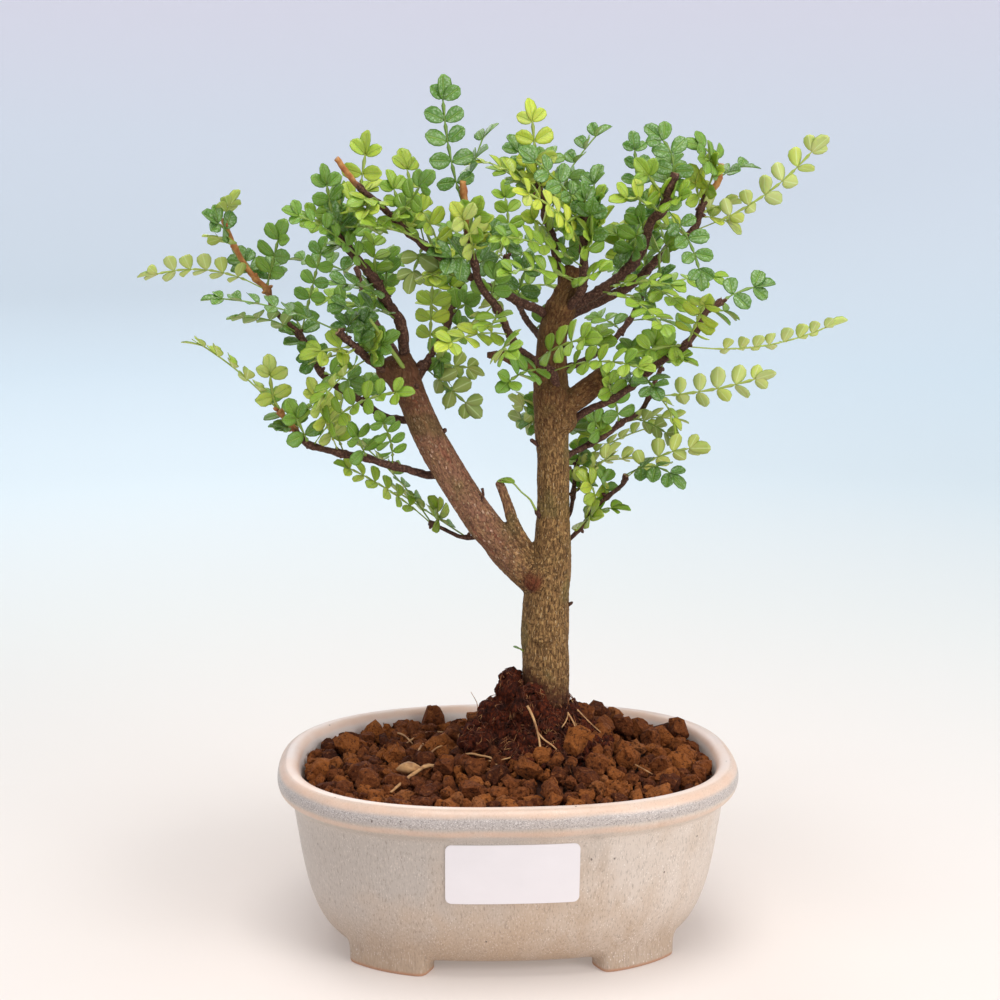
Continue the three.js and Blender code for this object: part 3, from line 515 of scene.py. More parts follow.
body = glaze.mix(body, "e9dfd8", in_band * band_grain * 0.6)
inside = glaze.attribute("inner")
# Painted light: the inner wall is painted paler so that it stays bright in the shade inside the pot.
body = glaze.mix(body, glaze.mix("ecddcf", "e0d4cd", wander), inside * 0.9)
thin = 0
for line, reach, strength in LIP_LINES:
    shifted = abs(height - line + (wander - 0.5) * 2.0)
    thin = thin + shifted.rises(reach, reach * 0.15) * strength
clay_colour = glaze.mix("d8ab8c", "e6c3a9", glaze.noise(here, 5, 3))
body = glaze.mix(body, clay_colour, thin * (0.4 + glaze.noise(here, 8, 2) * 0.6))
foot_rim = height.rises(1.9, 0.6)
body = glaze.mix(body, "b98767", foot_rim * 0.85)
pits = glaze.cells(here.stretched(1, 1, 0.7), 8.0).rises(0.055, 0.03)
runs = glaze.cells(here.stretched(1, 1, 0.28), 6.5).rises(0.06, 0.03) * wander.rises(0.45, 0.6)
body = glaze.mix(body, "5d4b42", (pits + runs) * 0.75)
stains = glaze.noise(here.stretched(1, 1, 0.22), 3.2, 3).rises(0.6, 0.8) * height.rises(30, 4)
body = glaze.mix(body, "94795f", stains * 0.5)
relief = streaks * 0.6 + glaze.noise(here, 4, 3) * 0.7 - pits * 1.5 - runs
shine = 0.34 + glaze.noise(here, 3, 3) * 0.22 + foot_rim * 0.4
pot.data.materials.append(glaze.finish(body, shine, relief, 0.14, Coat_Weight=0.2, Coat_Roughness=0.22))
settle(pot, "glazed_pot", "glaze", "pot")

# %% [markdown]
# ## The label
#
# A small white paper label is stuck on the front. It is left bare. A plane gets rounded corners by
# bevelling its vertices, is cut across every few millimetres so that it can bend, and is laid on the
# wall.

# %% The label
LABEL_MIDDLE_X = -1.5
LABEL_LENGTH = 47
LABEL_LOW, LABEL_HIGH = 32.2, 55.0
LABEL_STEP = 2.0
LABEL_PAPER = 0.35


def wall_inset(height):
    """How far in the pot's front wall lies, from the belly up to the lip."""
    return 9.6 + (height - 28) * (5.6 - 9.6) / (55.5 - 28)


bpy.ops.object.select_all(action="DESELECT")
bpy.ops.mesh.primitive_plane_add(size=1)
label = bpy.context.object
bpy.ops.object.mode_set(mode="EDIT")
bpy.ops.mesh.select_all(action="SELECT")
bpy.ops.transform.resize(value=(LABEL_LENGTH, LABEL_HIGH - LABEL_LOW, 1))
bpy.ops.mesh.bevel(offset=2.2, segments=6, affect="VERTICES")
for step in range(1, int(LABEL_LENGTH / LABEL_STEP)):
    across = step * LABEL_STEP - LABEL_LENGTH / 2
    bpy.ops.mesh.select_all(action="SELECT")
    bpy.ops.mesh.bisect(plane_co=(across, 0, 0), plane_no=(1, 0, 0))
bpy.ops.object.mode_set(mode="OBJECT")
for vertex in label.data.vertices:
    x = LABEL_MIDDLE_X + vertex.co.x
    z = (LABEL_LOW + LABEL_HIGH) / 2 + vertex.co.y
    inset = wall_inset(z)
    bulge = 1 - (abs(x) / (POT_HALF_LENGTH - inset)) ** POT_ROUNDNESS
    vertex.co = (x, -(POT_HALF_DEPTH - inset) * bulge ** (1 / POT_ROUNDNESS) - 0.15, z)
apply_modifier(label, "SOLIDIFY", thickness=LABEL_PAPER, offset=1)
bpy.ops.object.shade_smooth_by_angle(angle=math.radians(40))

paper = Paint("label_paper")
here = paper.here()
pulp = paper.noise(here, 0.6, 4, 0.6)
tone = paper.mix("eee7e7", "e7e0e0", paper.noise(here, 9, 2))
label.data.materials.append(paper.finish(tone, 0.55 + pulp * 0.15, pulp, 0.02))
settle(label, "blank_label", "paper", "label")

# %% [markdown]
# ## The bed of soil
#
# Under the loose granules lies the bed that they sink into, a little below their tops. It is painted dark,
# as painted shade for the gaps between the granules. It rises to a mound round the trunk. Its outline is
# the pot's own ring, drawn down inside the wall, and its surface is a row of rings that run in from the
# wall to the trunk.

# %% The height of the soil
TRUNK_X = 15
TRUNK_RADIUS = 9
SOIL_EDGE = 62.6
MOUND_HEIGHT = 27
MOUND_SPREAD = 16
BED_BELOW = 3.2  # how far the bed lies under the granules' level
WALL_INSET = 9.8


def soil_height(x, y):
    from_trunk = math.hypot(x - TRUNK_X, y)
    return SOIL_EDGE + MOUND_HEIGHT * math.exp(-max(0, from_trunk - TRUNK_RADIUS) / MOUND_SPREAD)


# %% The bed
BED_SIDES = 96
BED_ROWS = [(25.6, 10), (14, 30), (WALL_INSET, SOIL_EDGE - BED_BELOW)]  # inset and height
BED_RINGS = 14
BED_HOLE = 6
bed = soft_ring(BED_SIDES, *BED_ROWS[0])
extrude_rows(BED_ROWS)
for step in range(1, BED_RINGS + 1):
    bpy.ops.mesh.extrude_edges_move(TRANSFORM_OT_translate={"value": (0, 0, 0)})
    edit = bmesh.from_edit_mesh(bed.data)
    for vertex in edit.verts:
        if vertex.select:
            around = math.atan2(vertex.co.y, vertex.co.x - TRUNK_X)
            inner = Vector((TRUNK_X + BED_HOLE * math.cos(around), BED_HOLE * math.sin(around), 0))
            outer = Vector((vertex.co.x, vertex.co.y, 0))
            spot = outer.lerp(inner, 1 / (BED_RINGS + 1 - step))
            rough = 1.6 * noise.noise(Vector((spot.x, spot.y, 0)) / 5)
            vertex.co = (spot.x, spot.y, soil_height(spot.x, spot.y) - BED_BELOW + rough)
    bmesh.update_edit_mesh(bed.data)
bpy.ops.mesh.select_all(action="SELECT")
bpy.ops.mesh.fill_holes(sides=0)
bpy.ops.mesh.normals_make_consistent(inside=False)
bpy.ops.object.mode_set(mode="OBJECT")
bpy.ops.object.shade_smooth()

# %% [markdown]
# ## The granules
#
# Baked clay is broken, not rolled, so each granule has flat breaks, blunt corners and a crumbly skin. A
# dozen are modelled by slicing flats off a small ball. Copies of them are strewn over the bed, the big
# ones first, then the smaller ones where there is still room, and crumbs last.


# %% One broken granule
class Shape:
    """A small mesh that is ready to be copied: points, faces, face corners on the UV map, materials."""

    def __init__(self, points, faces, corners=None, slots=None):
        self.points = np.array(points, float)
        self.faces = faces
        self.corners = corners or [(0.0, 0.0)] * sum(len(face) for face in faces)
        self.slots = slots or [0] * len(faces)


def shape_of(model, slot=None):
    """Takes the mesh out of an object, which is then removed. All of it may get one material slot."""
    mesh = model.data
    layer = mesh.uv_layers.active
    corners = [tuple(corner.uv) for corner in layer.data] if layer else None
    slots = [face.material_index if slot is None else slot for face in mesh.polygons]
    faces = [tuple(face.vertices) for face in mesh.polygons]
    made = Shape([vertex.co[:] for vertex in mesh.vertices], faces, corners, slots)
    bpy.data.objects.remove(model)
    return made


def broken_granule(draw):
    bpy.ops.object.select_all(action="DESELECT")
    bpy.ops.mesh.primitive_ico_sphere_add(subdivisions=2, radius=1)
    bpy.ops.object.mode_set(mode="EDIT")
    for _ in range(5):
        way = Vector((draw.gauss(0, 1), draw.gauss(0, 1), draw.gauss(0, 1))).normalized()
        cut = way * draw.uniform(0.55, 0.85)
        bpy.ops.mesh.select_all(action="SELECT")
        bpy.ops.mesh.bisect(plane_co=cut, plane_no=way, use_fill=True, clear_outer=True)
    bpy.ops.mesh.select_all(action="SELECT")
    bpy.ops.mesh.remove_doubles(threshold=0.12)
    bpy.ops.mesh.quads_convert_to_tris()
    bpy.ops.object.mode_set(mode="OBJECT")
    lump = bpy.context.object
    start = Vector((draw.uniform(0, 50), 0, 0))
    for vertex in lump.data.vertices:
        swell = 0.3 * noise.noise(vertex.co * 1.3 + start) + 0.34 * noise.noise(vertex.co * 2.6 + start)
        vertex.co *= 1 + swell
    return shape_of(lump)


draw = random.Random(11)
granule_shapes = [broken_granule(draw) for _ in range(12)]
print("faces of a granule:", [len(shape.faces) for shape in granule_shapes])


# %% Many copies in one mesh
class Bunch:
    """Gathers copies of shapes, each with its own tint, and makes one mesh of them."""

    def __init__(self):
        self.points = []
        self.faces = []
        self.corners = []
        self.slots = []
        self.tints = []

    def add(self, shape, place, axes, tint=0.5):
        """A copy of a shape whose own x, y and z run along the three axes."""
        first = len(self.points)
        self.points.extend((shape.points @ np.array(axes, float) + np.array(place, float)).tolist())
        self.faces.extend(tuple(first + point for point in face) for face in shape.faces)
        self.corners.extend(shape.corners)
        self.slots.extend(shape.slots)
        self.tints.extend([tint] * len(shape.points))

    def mesh_piece(self, *materials):
        mesh = bpy.data.meshes.new("bunch")
        mesh.from_pydata(self.points, [], self.faces)
        layer = mesh.uv_layers.new(name="own")
        layer.data.foreach_set("uv", np.array(self.corners, np.float32).ravel())
        mesh.polygons.foreach_set("material_index", self.slots)
        mesh.polygons.foreach_set("use_smooth", [True] * len(self.faces))
        store(mesh, "tint", self.tints)
        for material in materials:
            mesh.materials.append(material)
        piece = bpy.data.objects.new("bunch", mesh)
        bpy.context.collection.objects.link(piece)
        return piece


def tumbled(draw, size, flat=1.0):
    """Three axes of a copy that lies any way up."""
    way = Matrix.Rotation(draw.uniform(0, math.tau), 3, Vector((draw.gauss(0, 1), draw.gauss(0, 1), 1)))
    spin = Matrix.Rotation(draw.uniform(0, math.tau), 3, "Z")
    return [row * size for row in (Matrix.Diagonal((1, draw.uniform(0.75, 1.1), flat)) @ way @ spin)]


# %% Strewing the granules
GRANULE_SIZES = [
    # radius from, to, how many are tried, how far their middles lie over the soil's level, nearness
    (3.7, 4.9, 90, 0.4, 0.84),
    (2.8, 3.8, 700, 0.5, 0.82),
    (1.9, 2.8, 3000, 0.2, 0.8),
    (1.0, 1.8, 4500, -0.2, 0.74),
]
PEAT_MIDDLE = (9, -4)
PEAT_REACH = 20  # the peat round the trunk stays clear of granules this far
# Granules that stand out in the photograph: x, y, height over the soil, radius.
NOTED_GRANULES = [
    (-28, 53, 3.0, 5.4), (25, -19, 3.0, 5.4), (6, -30, 2.4, 4.9), (-62, 18, 3.0, 5.2), (-21, 17, 2.8, 4.8),
    (37, 5, 2.0, 4.6), (56, 10, 2.4, 4.6), (-70, -7, 2.0, 4.4), (64, -12, 2.6, 4.6), (-52, -22, 2.0, 4.7),
    (44, -18, 2.8, 4.4), (70, 25, 5.0, 4.6), (-10, 46, 3.0, 4.2), (34, 26, 3.0, 4.2), (14, -44, 1.6, 4.6),
    (48, 24, 3.0, 4.5), (-43, 6, 2.2, 4.2), (-15, -38, 2.0, 4.2), (68, -2, 2.6, 4.4), (36, 13, 6.0, 4.6),
    (45, 10, 5.5, 4.4), (53, 18, 5.0, 4.5), (61, 12, 4.0, 4.3), (42, 20, 7.0, 4.2),
]


draw = random.Random(5)
lying = [(x, y, soil_height(x, y) + over, radius) for x, y, over, radius in NOTED_GRANULES]
for smallest, biggest, tries, over, nearness in GRANULE_SIZES:
    for _ in range(tries):
        x = draw.uniform(-77, 77)
        y = draw.uniform(-58, 58)
        radius = draw.uniform(smallest, biggest)
        from_peat = math.hypot(x - PEAT_MIDDLE[0], y - PEAT_MIDDLE[1])
        from_peat += 6 * noise.noise(Vector((x, y, 3)) / 9)
        if not inside_pot(x, y, WALL_INSET + 0.8 * radius) or from_peat < PEAT_REACH + radius * 0.4:
            continue
        spots = np.array(lying)
        apart = np.hypot(spots[:, 0] - x, spots[:, 1] - y)
        if (apart > nearness * (spots[:, 3] + radius)).all():
            lying.append((x, y, soil_height(x, y) + over + draw.uniform(-0.4, 0.5) * radius * 0.7, radius))

granules = Bunch()
for x, y, z, radius in lying:
    shape = draw.choice(granule_shapes)
    granules.add(shape, (x, y, z), tumbled(draw, radius * 1.12, 0.92), draw.random())
print("granules:", len(lying))

# %% [markdown]
# ## Clay and its colours
#
# Each granule keeps its own shade between orange-brown and chocolate, which is what makes a bed of them
# look loose. Fine noise gives the crumbly skin, with painted shade in its hollows and paler crumbs on its
# bumps, and the bed below is painted dark, as painted shade, because little light reaches it.

# %% The clay
clay = Paint("baked_clay")
here = clay.here()
own = clay.attribute("tint")
crumb = clay.noise(here, 1.5, 5, 0.68)
pitted = clay.cells(here, 1.4)
shade = own * 0.75 + clay.noise(here, 5, 2) * 0.25
CLAY_TONES = ((0.05, "3c1c10"), (0.28, "653317"), (0.52, "804620"), (0.76, "a05c28"), (0.95, "945f3c"))
clay_tone = clay.ramp(shade, *CLAY_TONES)
# Painted shade: the clay is darker where its crumbly relief is low, in the hollows.
clay_tone = clay.mix(clay_tone, "2c130a", crumb.rises(0.5, 0.34) * 0.8)
clay_tone = clay.mix(clay_tone, "b5713f", crumb.rises(0.54, 0.7) * 0.55)
clay_material = clay.finish(clay_tone, 0.92, crumb * 1.4 + pitted * 0.5, 1.5, Specular_IOR_Level=0.2)
granule_piece = granules.mesh_piece(clay_material)
pick(granule_piece)
bpy.ops.object.shade_smooth_by_angle(angle=math.radians(38))
settle(granule_piece, "clay_granules", "clay_granules", "soil")

under = Paint("painted_shade_bed")
here = under.here()
# Painted shade: the bed is dark brown because it stands for the shaded gaps between the granules.
under_tone = under.mix("2a140c", "4a2616", under.noise(here, 2.5, 4, 0.6))
bed.data.materials.append(under.finish(under_tone, 0.95, under.noise(here, 1.5, 4, 0.6), 1.0))
settle(bed, "soil_bed", "clay_granules", "soil")

# %% [markdown]
# ## The peat round the trunk
#
# The old root ball shows as a dark mound of peat: matted fibres and crumbs that climb the trunk, higher
# on its left, where one clod stands upright. It is turned like a bowl from rings of points. The clods are
# stretched balls, and a voxel remesh melts all of it into one lump, which noise then roughens. Crumbs and
# fibres lie over it.

# %% The mound
PEAT_RADIUS = 25
PEAT_WAVES = ((0.07, 3, 1), (0.05, 5, 0))
PEAT_LUMP = {"x": 4, "y": 0, "height": 6, "half_length": 5, "half_depth": 7}
PEAT_CLODS = [
    # middle, half sizes
    ((1.6, -1, 91.5), (5.6, 6, 9.6)),
    ((-3, -1, 82), (8.5, 8, 8)),
    ((8.5, -8.5, 87), (7, 4.5, 10)),
    ((-9, -3, 74), (9, 9, 8)),
    ((25, 3, 80), (6, 7, 6.5)),
]
PEAT_SIDES = 48
PEAT_HOLE = 9.2


def join_ball(body, middle, radius, stretch=(1, 1, 1)):
    """Adds a ball, which may be stretched, to the mesh of a body."""
    bpy.ops.mesh.primitive_ico_sphere_add(subdivisions=3, radius=radius, location=middle)
    ball = bpy.context.object
    ball.scale = stretch
    bpy.ops.object.transform_apply(location=True, scale=True)
    body.select_set(True)
    bpy.context.view_layer.objects.active = body
    bpy.ops.object.join()


def peat_height(x, y):
    across = (x - PEAT_LUMP["x"]) / PEAT_LUMP["half_length"]
    deep = (y - PEAT_LUMP["y"]) / PEAT_LUMP["half_depth"]
    return soil_height(x, y) + PEAT_LUMP["height"] * math.exp(-(math.hypot(across, deep) ** 2))


def peat_ring(radius, height_at):
    ring = []
    for side in range(PEAT_SIDES):
        angle = math.tau * side / PEAT_SIDES
        waves = sum(size * math.sin(count * angle + start) for size, count, start in PEAT_WAVES)
        reach = radius * (1 + waves)
        x = TRUNK_X + reach * math.cos(angle)
        y = reach * math.sin(angle)
        ring.append(Vector((x, y, height_at(x, y))))
    return ring


peat_rings = [
    peat_ring(PEAT_RADIUS - 2.6, lambda x, y: 50),
    peat_ring(PEAT_RADIUS - 0.5, lambda x, y: soil_height(x, y) - 2.2),
    peat_ring(PEAT_RADIUS * 0.92, lambda x, y: soil_height(x, y) - 0.4),
    peat_ring(PEAT_RADIUS * 0.8, peat_height),
    peat_ring(PEAT_RADIUS * 0.68, peat_height),
    peat_ring(PEAT_RADIUS * 0.56, peat_height),
    peat_ring(PEAT_RADIUS * 0.46, peat_height),
    peat_ring(PEAT_HOLE, lambda x, y: soil_height(x, y) + 1.2),
    peat_ring(PEAT_HOLE - 0.4, lambda x, y: 62),
]
bpy.ops.object.select_all(action="DESELECT")
bpy.ops.mesh.primitive_circle_add(vertices=PEAT_SIDES, radius=1)
peat = bpy.context.object
for vertex, place in zip(peat.data.vertices, peat_rings[0]):
    vertex.co = place
bpy.ops.object.mode_set(mode="EDIT")
bpy.ops.mesh.select_all(action="SELECT")
for ring in peat_rings[1:]:
    bpy.ops.mesh.extrude_edges_move(TRANSFORM_OT_translate={"value": (0, 0, 0)})
    edit = bmesh.from_edit_mesh(peat.data)
    raised = sorted((vertex for vertex in edit.verts if vertex.select), key=lambda vertex: vertex.index)
    for vertex, place in zip(raised, ring):
        vertex.co = place
    bmesh.update_edit_mesh(peat.data)
bpy.ops.mesh.select_all(action="SELECT")
bpy.ops.mesh.fill_holes(sides=0)
bpy.ops.mesh.normals_make_consistent(inside=False)
bpy.ops.object.mode_set(mode="OBJECT")
apply_modifier(peat, "SUBSURF", levels=1, render_levels=1)
for middle, halves in PEAT_CLODS:
    join_ball(peat, middle, 1, halves)
apply_modifier(peat, "REMESH", mode="VOXEL", voxel_size=0.7)
for vertex in peat.data.vertices:
    if vertex.co.z > 60 and math.hypot(vertex.co.x - TRUNK_X, vertex.co.y) > PEAT_HOLE - 0.3:
        lumps = 2.4 * noise.noise(vertex.co / 4.5) + 1.7 * noise.noise(vertex.co / 1.9)
        vertex.co += vertex.normal * (lumps + 0.6 * noise.noise(vertex.co / 0.8))
bpy.ops.object.shade_smooth()

# %% The peat's colour
dark = Paint("dark_peat")
here = dark.here()
strands = dark.noise(here.stretched(1, 1, 0.5), 0.9, 5, 0.7)
peat_tone = dark.ramp(strands, (0.3, "200b06"), (0.48, "40180b"), (0.62, "662b12"), (0.8, "965026"))
peat_tone = dark.mix(peat_tone, "150b08", dark.noise(here, 6, 2).rises(0.5, 0.3) * 0.6)
peat_material = dark.finish(peat_tone, 0.95, strands + dark.noise(here, 2, 3), 0.8, Specular_IOR_Level=0.2)
peat.data.materials.append(peat_material)
settle(peat, "peat_mound", "peat", "root_ball")

# %% Peat crumbs
draw = random.Random(23)
crumbs = Bunch()
for _ in range(620):
    angle = draw.uniform(0, math.tau)
    reach = draw.uniform(9.5, 28)
    x = TRUNK_X + reach * math.cos(angle) - 0.25 * max(0, reach - 14)
    y = reach * math.sin(angle)
    radius = draw.uniform(0.5, 1.8) * (0.75 if reach < 14 else 1)
    z = (peat_height(x, y) if reach < 22 else soil_height(x, y) + 0.4) + 0.3 * radius
    crumbs.add(draw.choice(granule_shapes), (x, y, z), tumbled(draw, radius), draw.random())
for x, y, over, radius in ((31, 14, 2.2, 3.6), (8, -18, 0.8, 3.2), (-6, 3, 2.0, 3.2), (-3, -8, 1.4, 2.8)):
    crumbs.add(draw.choice(granule_shapes), (x, y, soil_height(x, y) + over), tumbled(draw, radius), 0.1)
for _ in range(220):  # crumbs that cling to the clods
    middle, halves = draw.choice(PEAT_CLODS)
    way = Vector((draw.gauss(0, 1), draw.gauss(0, 1), draw.gauss(0.2, 1))).normalized()
    place = Vector(middle) + way * Vector(halves)
    if math.hypot(place.x - TRUNK_X, place.y) > PEAT_HOLE:
        crumbs.add(draw.choice(granule_shapes), place, tumbled(draw, draw.uniform(0.4, 1.3)), draw.random())
settle(crumbs.mesh_piece(peat_material), "peat_crumbs", "peat", "root_ball")

# %% [markdown]
# ## Roots and fibres
#
# Fine roots are tubes along smooth lines. A curve with a round bevel makes such a tube, thick where its
# point's radius is large, and converting it gives a mesh. The tan ones lie where the photograph shows
# them, and hundreds of hair-thin dark ones are drawn at random over the peat.


# %% Smooth lines
class SmoothLine:
    """A line that bends smoothly through its points, walked by its own length."""

    STEPS = 24  # between two of its points

    def __init__(self, rows):
        points = np.array(rows, float)[:, :3]
        ends = [2 * points[0] - points[1], *points, 2 * points[-1] - points[-2]]
        spots = []
        for before, start, end, after in zip(ends, ends[1:], ends[2:], ends[3:]):
            near = np.linalg.norm(start - before) ** 0.5
            gap = np.linalg.norm(end - start) ** 0.5
            far = np.linalg.norm(after - end) ** 0.5
            leave = gap * ((start - before) / near - (end - before) / (near + gap) + (end - start) / gap)
            arrive = gap * ((end - start) / gap - (after - start) / (gap + far) + (after - end) / far)
            for t in np.arange(self.STEPS) / self.STEPS:
                square = 3 * (end - start) - 2 * leave - arrive
                cube = 2 * (start - end) + leave + arrive
                spots.append(start + leave * t + square * t**2 + cube * t**3)
        spots.append(points[-1])
        self.spots = np.array(spots)
        self.walked = np.concatenate([[0], np.cumsum(np.linalg.norm(np.diff(self.spots, axis=0), axis=1))])
        self.length = self.walked[-1]
        self.rows = np.arange(len(spots)) / self.STEPS  # which of its points each spot lies at or after

    def at(self, share):
        walked = share * self.length
        return Vector([np.interp(walked, self.walked, self.spots[:, axis]) for axis in range(3)])

    def row_at(self, share):
        return float(np.interp(share * self.length, self.walked, self.rows))


# %% Tubes
def tubes(lines, resolution):
    """A mesh of tubes. Each line is a list of (place, radius), and a tube has 4 + 2 * resolution sides."""
    curve = bpy.data.curves.new("tubes", "CURVE")
    curve.dimensions = "3D"
    curve.bevel_depth = 1
    curve.bevel_resolution = resolution
    curve.use_fill_caps = True
    for line in lines:
        spline = curve.splines.new("POLY")
        spline.points.add(len(line) - 1)
        for point, (place, radius) in zip(spline.points, line):
            point.co = (*place, 1)
            point.radius = radius
    piece = bpy.data.objects.new("tubes", curve)
    bpy.context.collection.objects.link(piece)
    pick(piece)
    bpy.ops.object.convert(target="MESH")
    bpy.ops.object.mode_set(mode="EDIT")
    bpy.ops.mesh.select_all(action="SELECT")
    bpy.ops.mesh.remove_doubles(threshold=0.0005)
    bpy.ops.object.mode_set(mode="OBJECT")
    bpy.ops.object.shade_smooth()
    return bpy.context.object


def evenly(rows, radii, steps):
    """Places and radii at even steps along the smooth line through the rows."""
    line = SmoothLine(rows)
    shares = [step / steps for step in range(steps + 1)]
    thickness = np.interp(shares, np.linspace(0, 1, len(radii)), radii)
    return [(line.at(share), float(radius)) for share, radius in zip(shares, thickness)]


# %% The tan roots
# Each is the points x, y and height over the soil that it runs through, and its radii from start to end.
TAN_ROOTS = [
    ([(6.6, -13.6, 10.5), (8, -14.4, 8), (9.4, -16, 5.4), (10.6, -19, 2.8), (11, -22.5, 1.2)], (0.5, 0.36)),
    ([(10, -17.5, 4.0), (12.4, -19.5, 2.8), (15, -20.5, 1.9), (17, -21.5, 1.1)], (0.36, 0.26)),
    ([(-27, -15, 2.6), (-31, -15, 3.4), (-35, -19, 3.0), (-40, -26, 2.2), (-44, -33, 1.4)], (0.8, 0.5)),
    ([(-32, 16, 2.2), (-33, 10, 2.8), (-34, 5, 2.4), (-34, -1, 1.4)], (0.5, 0.4)),
    ([(-42, 36, 2), (-40, 30, 3), (-38, 26, 2.4), (-36, 20, 1.6)], (0.42, 0.3)),
    ([(-22, 8, 2), (-26, 5, 3), (-29, 1, 2.6), (-31, -7, 1.6)], (0.42, 0.3)),
    ([(-24, 32, 2), (-30, 30, 3), (-34, 27, 2.8), (-39, 20, 1.8)], (0.4, 0.3)),
    ([(-17, -9, 2), (-14, -12, 2.6), (-11, -15, 2.2), (-7, -19, 2), (-5, -23, 1)], (0.45, 0.3)),
    ([(-8, -20, 1.8), (-4, -22, 2.2), (0, -22, 1.8)], (0.35, 0.25)),
    ([(22, -10, 2.0), (24, -12, 2.2), (25.5, -15, 1.4)], (0.34, 0.22)),
    ([(22.2, -10.4, 2.0), (21, -13, 2.0), (19, -15, 1.4)], (0.3, 0.2)),
    ([(26, -6, 2.2), (30, -6.5, 2.6), (35, -6, 2)], (0.32, 0.2)),
    ([(-30, -9, 1.6), (-32, -12, 2.4), (-33, -16, 2.6)], (0.6, 0.45)),
    ([(46, -21, 2.4), (48, -24, 3), (52, -26, 2)], (0.3, 0.2)),
    ([(-9, 26, 2), (-10.2, 25, 10), (-10.6, 25, 13), (-13, 25, 18)], (0.22, 0.1)),
    ([(-42, -15, 3.4), (-39, -16, 4.0), (-36, -16.5, 4.0), (-33, -16, 3.4)], (0.6, 2.0, 2.5, 1.9, 0.4)),
]
root_lines = []
for spots, radii in TAN_ROOTS:
    rows = [(x, y, soil_height(x, y) + over) for x, y, over in spots]
    root_lines.append(evenly(rows, radii, 10))
roots = tubes(root_lines, 1)
tan = Paint("tan_root")
here = tan.here()
root_tone = tan.mix("a9713f", "d8ae78", tan.noise(here, 1.5, 3))
root_tone = tan.mix(root_tone, "7a4c2c", tan.noise(here, 4, 2).rises(0.48, 0.66) * 0.7)
root_material = tan.finish(root_tone, 0.75, tan.noise(here, 0.6, 3), 0.1)
roots.data.materials.append(root_material)
settle(roots, "tan_roots", "peat", "root_ball")

# %% The peat's fibres
draw = random.Random(31)
fibre_lines = []
for _ in range(460):
    angle = draw.uniform(0, math.tau)
    reach = draw.uniform(9, 26)
    place = Vector((TRUNK_X + reach * math.cos(angle), reach * math.sin(angle), 0))
    heading = draw.uniform(0, math.tau)
    line = []
    for step in range(6):
        over = 0.5 + 0.9 * math.sin(step / 5 * math.pi) + draw.uniform(-0.2, 0.3)
        line.append((Vector((place.x, place.y, peat_height(place.x, place.y) + over)), 0.15 - 0.015 * step))
        heading += draw.uniform(-0.7, 0.7)
        place += Vector((math.cos(heading), math.sin(heading), 0)) * draw.uniform(0.8, 1.7)
    fibre_lines.append(line)
for _ in range(160):  # over the clods
    middle, halves = draw.choice(PEAT_CLODS)
    way = Vector((draw.gauss(0, 1), draw.gauss(-0.4, 1), draw.gauss(0.2, 1))).normalized()
    line = []
    for step in range(6):
        away = way * Vector(halves) * (1.06 + 0.1 * math.sin(step / 5 * math.pi))
        line.append((Vector(middle) + away, 0.14 - 0.012 * step))
        way = (way + Vector((draw.gauss(0, 1), draw.gauss(0, 1), draw.gauss(0, 1))) * 0.14).normalized()
    if all(math.hypot(place.x - TRUNK_X, place.y) > PEAT_HOLE for place, _ in line):
        fibre_lines.append(line)
fibres = tubes(fibre_lines, 0)
hair = Paint("peat_fibre")
here = hair.here()
HAIR_TONES = ((0.3, "35180d"), (0.48, "5f3019"), (0.58, "8e5830"), (0.72, "bd8e5a"))
hair_tone = hair.ramp(hair.noise(here, 3, 2), *HAIR_TONES)
fibres.data.materials.append(hair.finish(hair_tone, 0.9))
settle(fibres, "peat_fibres", "peat", "root_ball")

# %% [markdown]
# ## The trunk
#
# The trunk forks a third of the way up, and the sawn stubs of old limbs still stand on it. Tubes and
# knots are melted into one body by a voxel remesh, and smoothed. Then every vertex learns where it lies
# along its own limb, so that the furrows of the bark run along the wood and not simply upwards.

# %% The wood's lines
# Each row is x, y, z and the radius there.
TRUNK_LINE = [
    (15, 0, 62, 8.8), (14.6, 0, 89, 9.0), (14.3, 0, 108, 9.0), (14.5, 0, 128, 8.8), (16.4, 0, 141, 7.8),
    (17, 0, 158, 6.3), (17, 0, 177, 6.1), (16, 0, 196, 6.3), (16, 0, 205, 6.7), (16, 0, 218, 5.9),
    (17, 0, 229, 5.4), (19.5, 0, 237, 5.1), (23, 1, 245, 4.5), (25, 2, 251, 3.6),
]
LIMB_LINE = [
    (17, 0, 131, 6.2), (12, 0, 134, 6.6), (2, -1, 144, 6.4), (-8, -2, 156, 6.1), (-16.8, -3, 169, 6.0),
    (-24.5, -4, 182, 5.9), (-31, -5, 195, 5.7), (-35.2, -6, 205, 5.4), (-38.5, -7, 213, 6.3),
    (-40.5, -8, 220, 4.8),
]
STUB_LINES = [
    [(17, 0, 197, 4.2), (28, -3, 206, 4.4), (35, -5, 212, 4)],
    [
        (9, -1, 146, 2.4), (3, -2, 155, 2.3), (-0.6, -3, 166, 2.1), (-2.4, -3, 171, 1.9),
        (-3.6, -3, 173.4, 1.6),
    ],
    [(14, 0, 214, 2.6), (4, -3, 217, 2.2), (-2, -5, 220, 2), (-8, -6, 220, 1.6)],
]
# Swellings where limbs part, were cut, or are about to sprout: x, y, z and radius.
KNOTS = [
    (13, -1, 137, 8.2), (16, -2, 204, 7.0), (19, 0, 236, 5.9), (-39, -8, 214, 6.6), (-44, -8.6, 215, 4.2),
    (34, -5, 211, 4.3), (20, -2, 196, 5.6), (11, -4, 137, 6.2), (8, 0, 143, 4.6), (-3, -3.6, 153, 4.2),
]
# Low ridges where the bark has healed over a wound.
RIDGES = [
    [(8.8, -7.4, 114.6, 0.7), (12.2, -9.0, 113.6, 1.1), (16, -9.2, 114.2, 0.8)],
    [(-38, -12.0, 204.5, 0.8), (-35, -12.4, 203.4, 1.1), (-32, -11.2, 204.5, 0.8)],
]

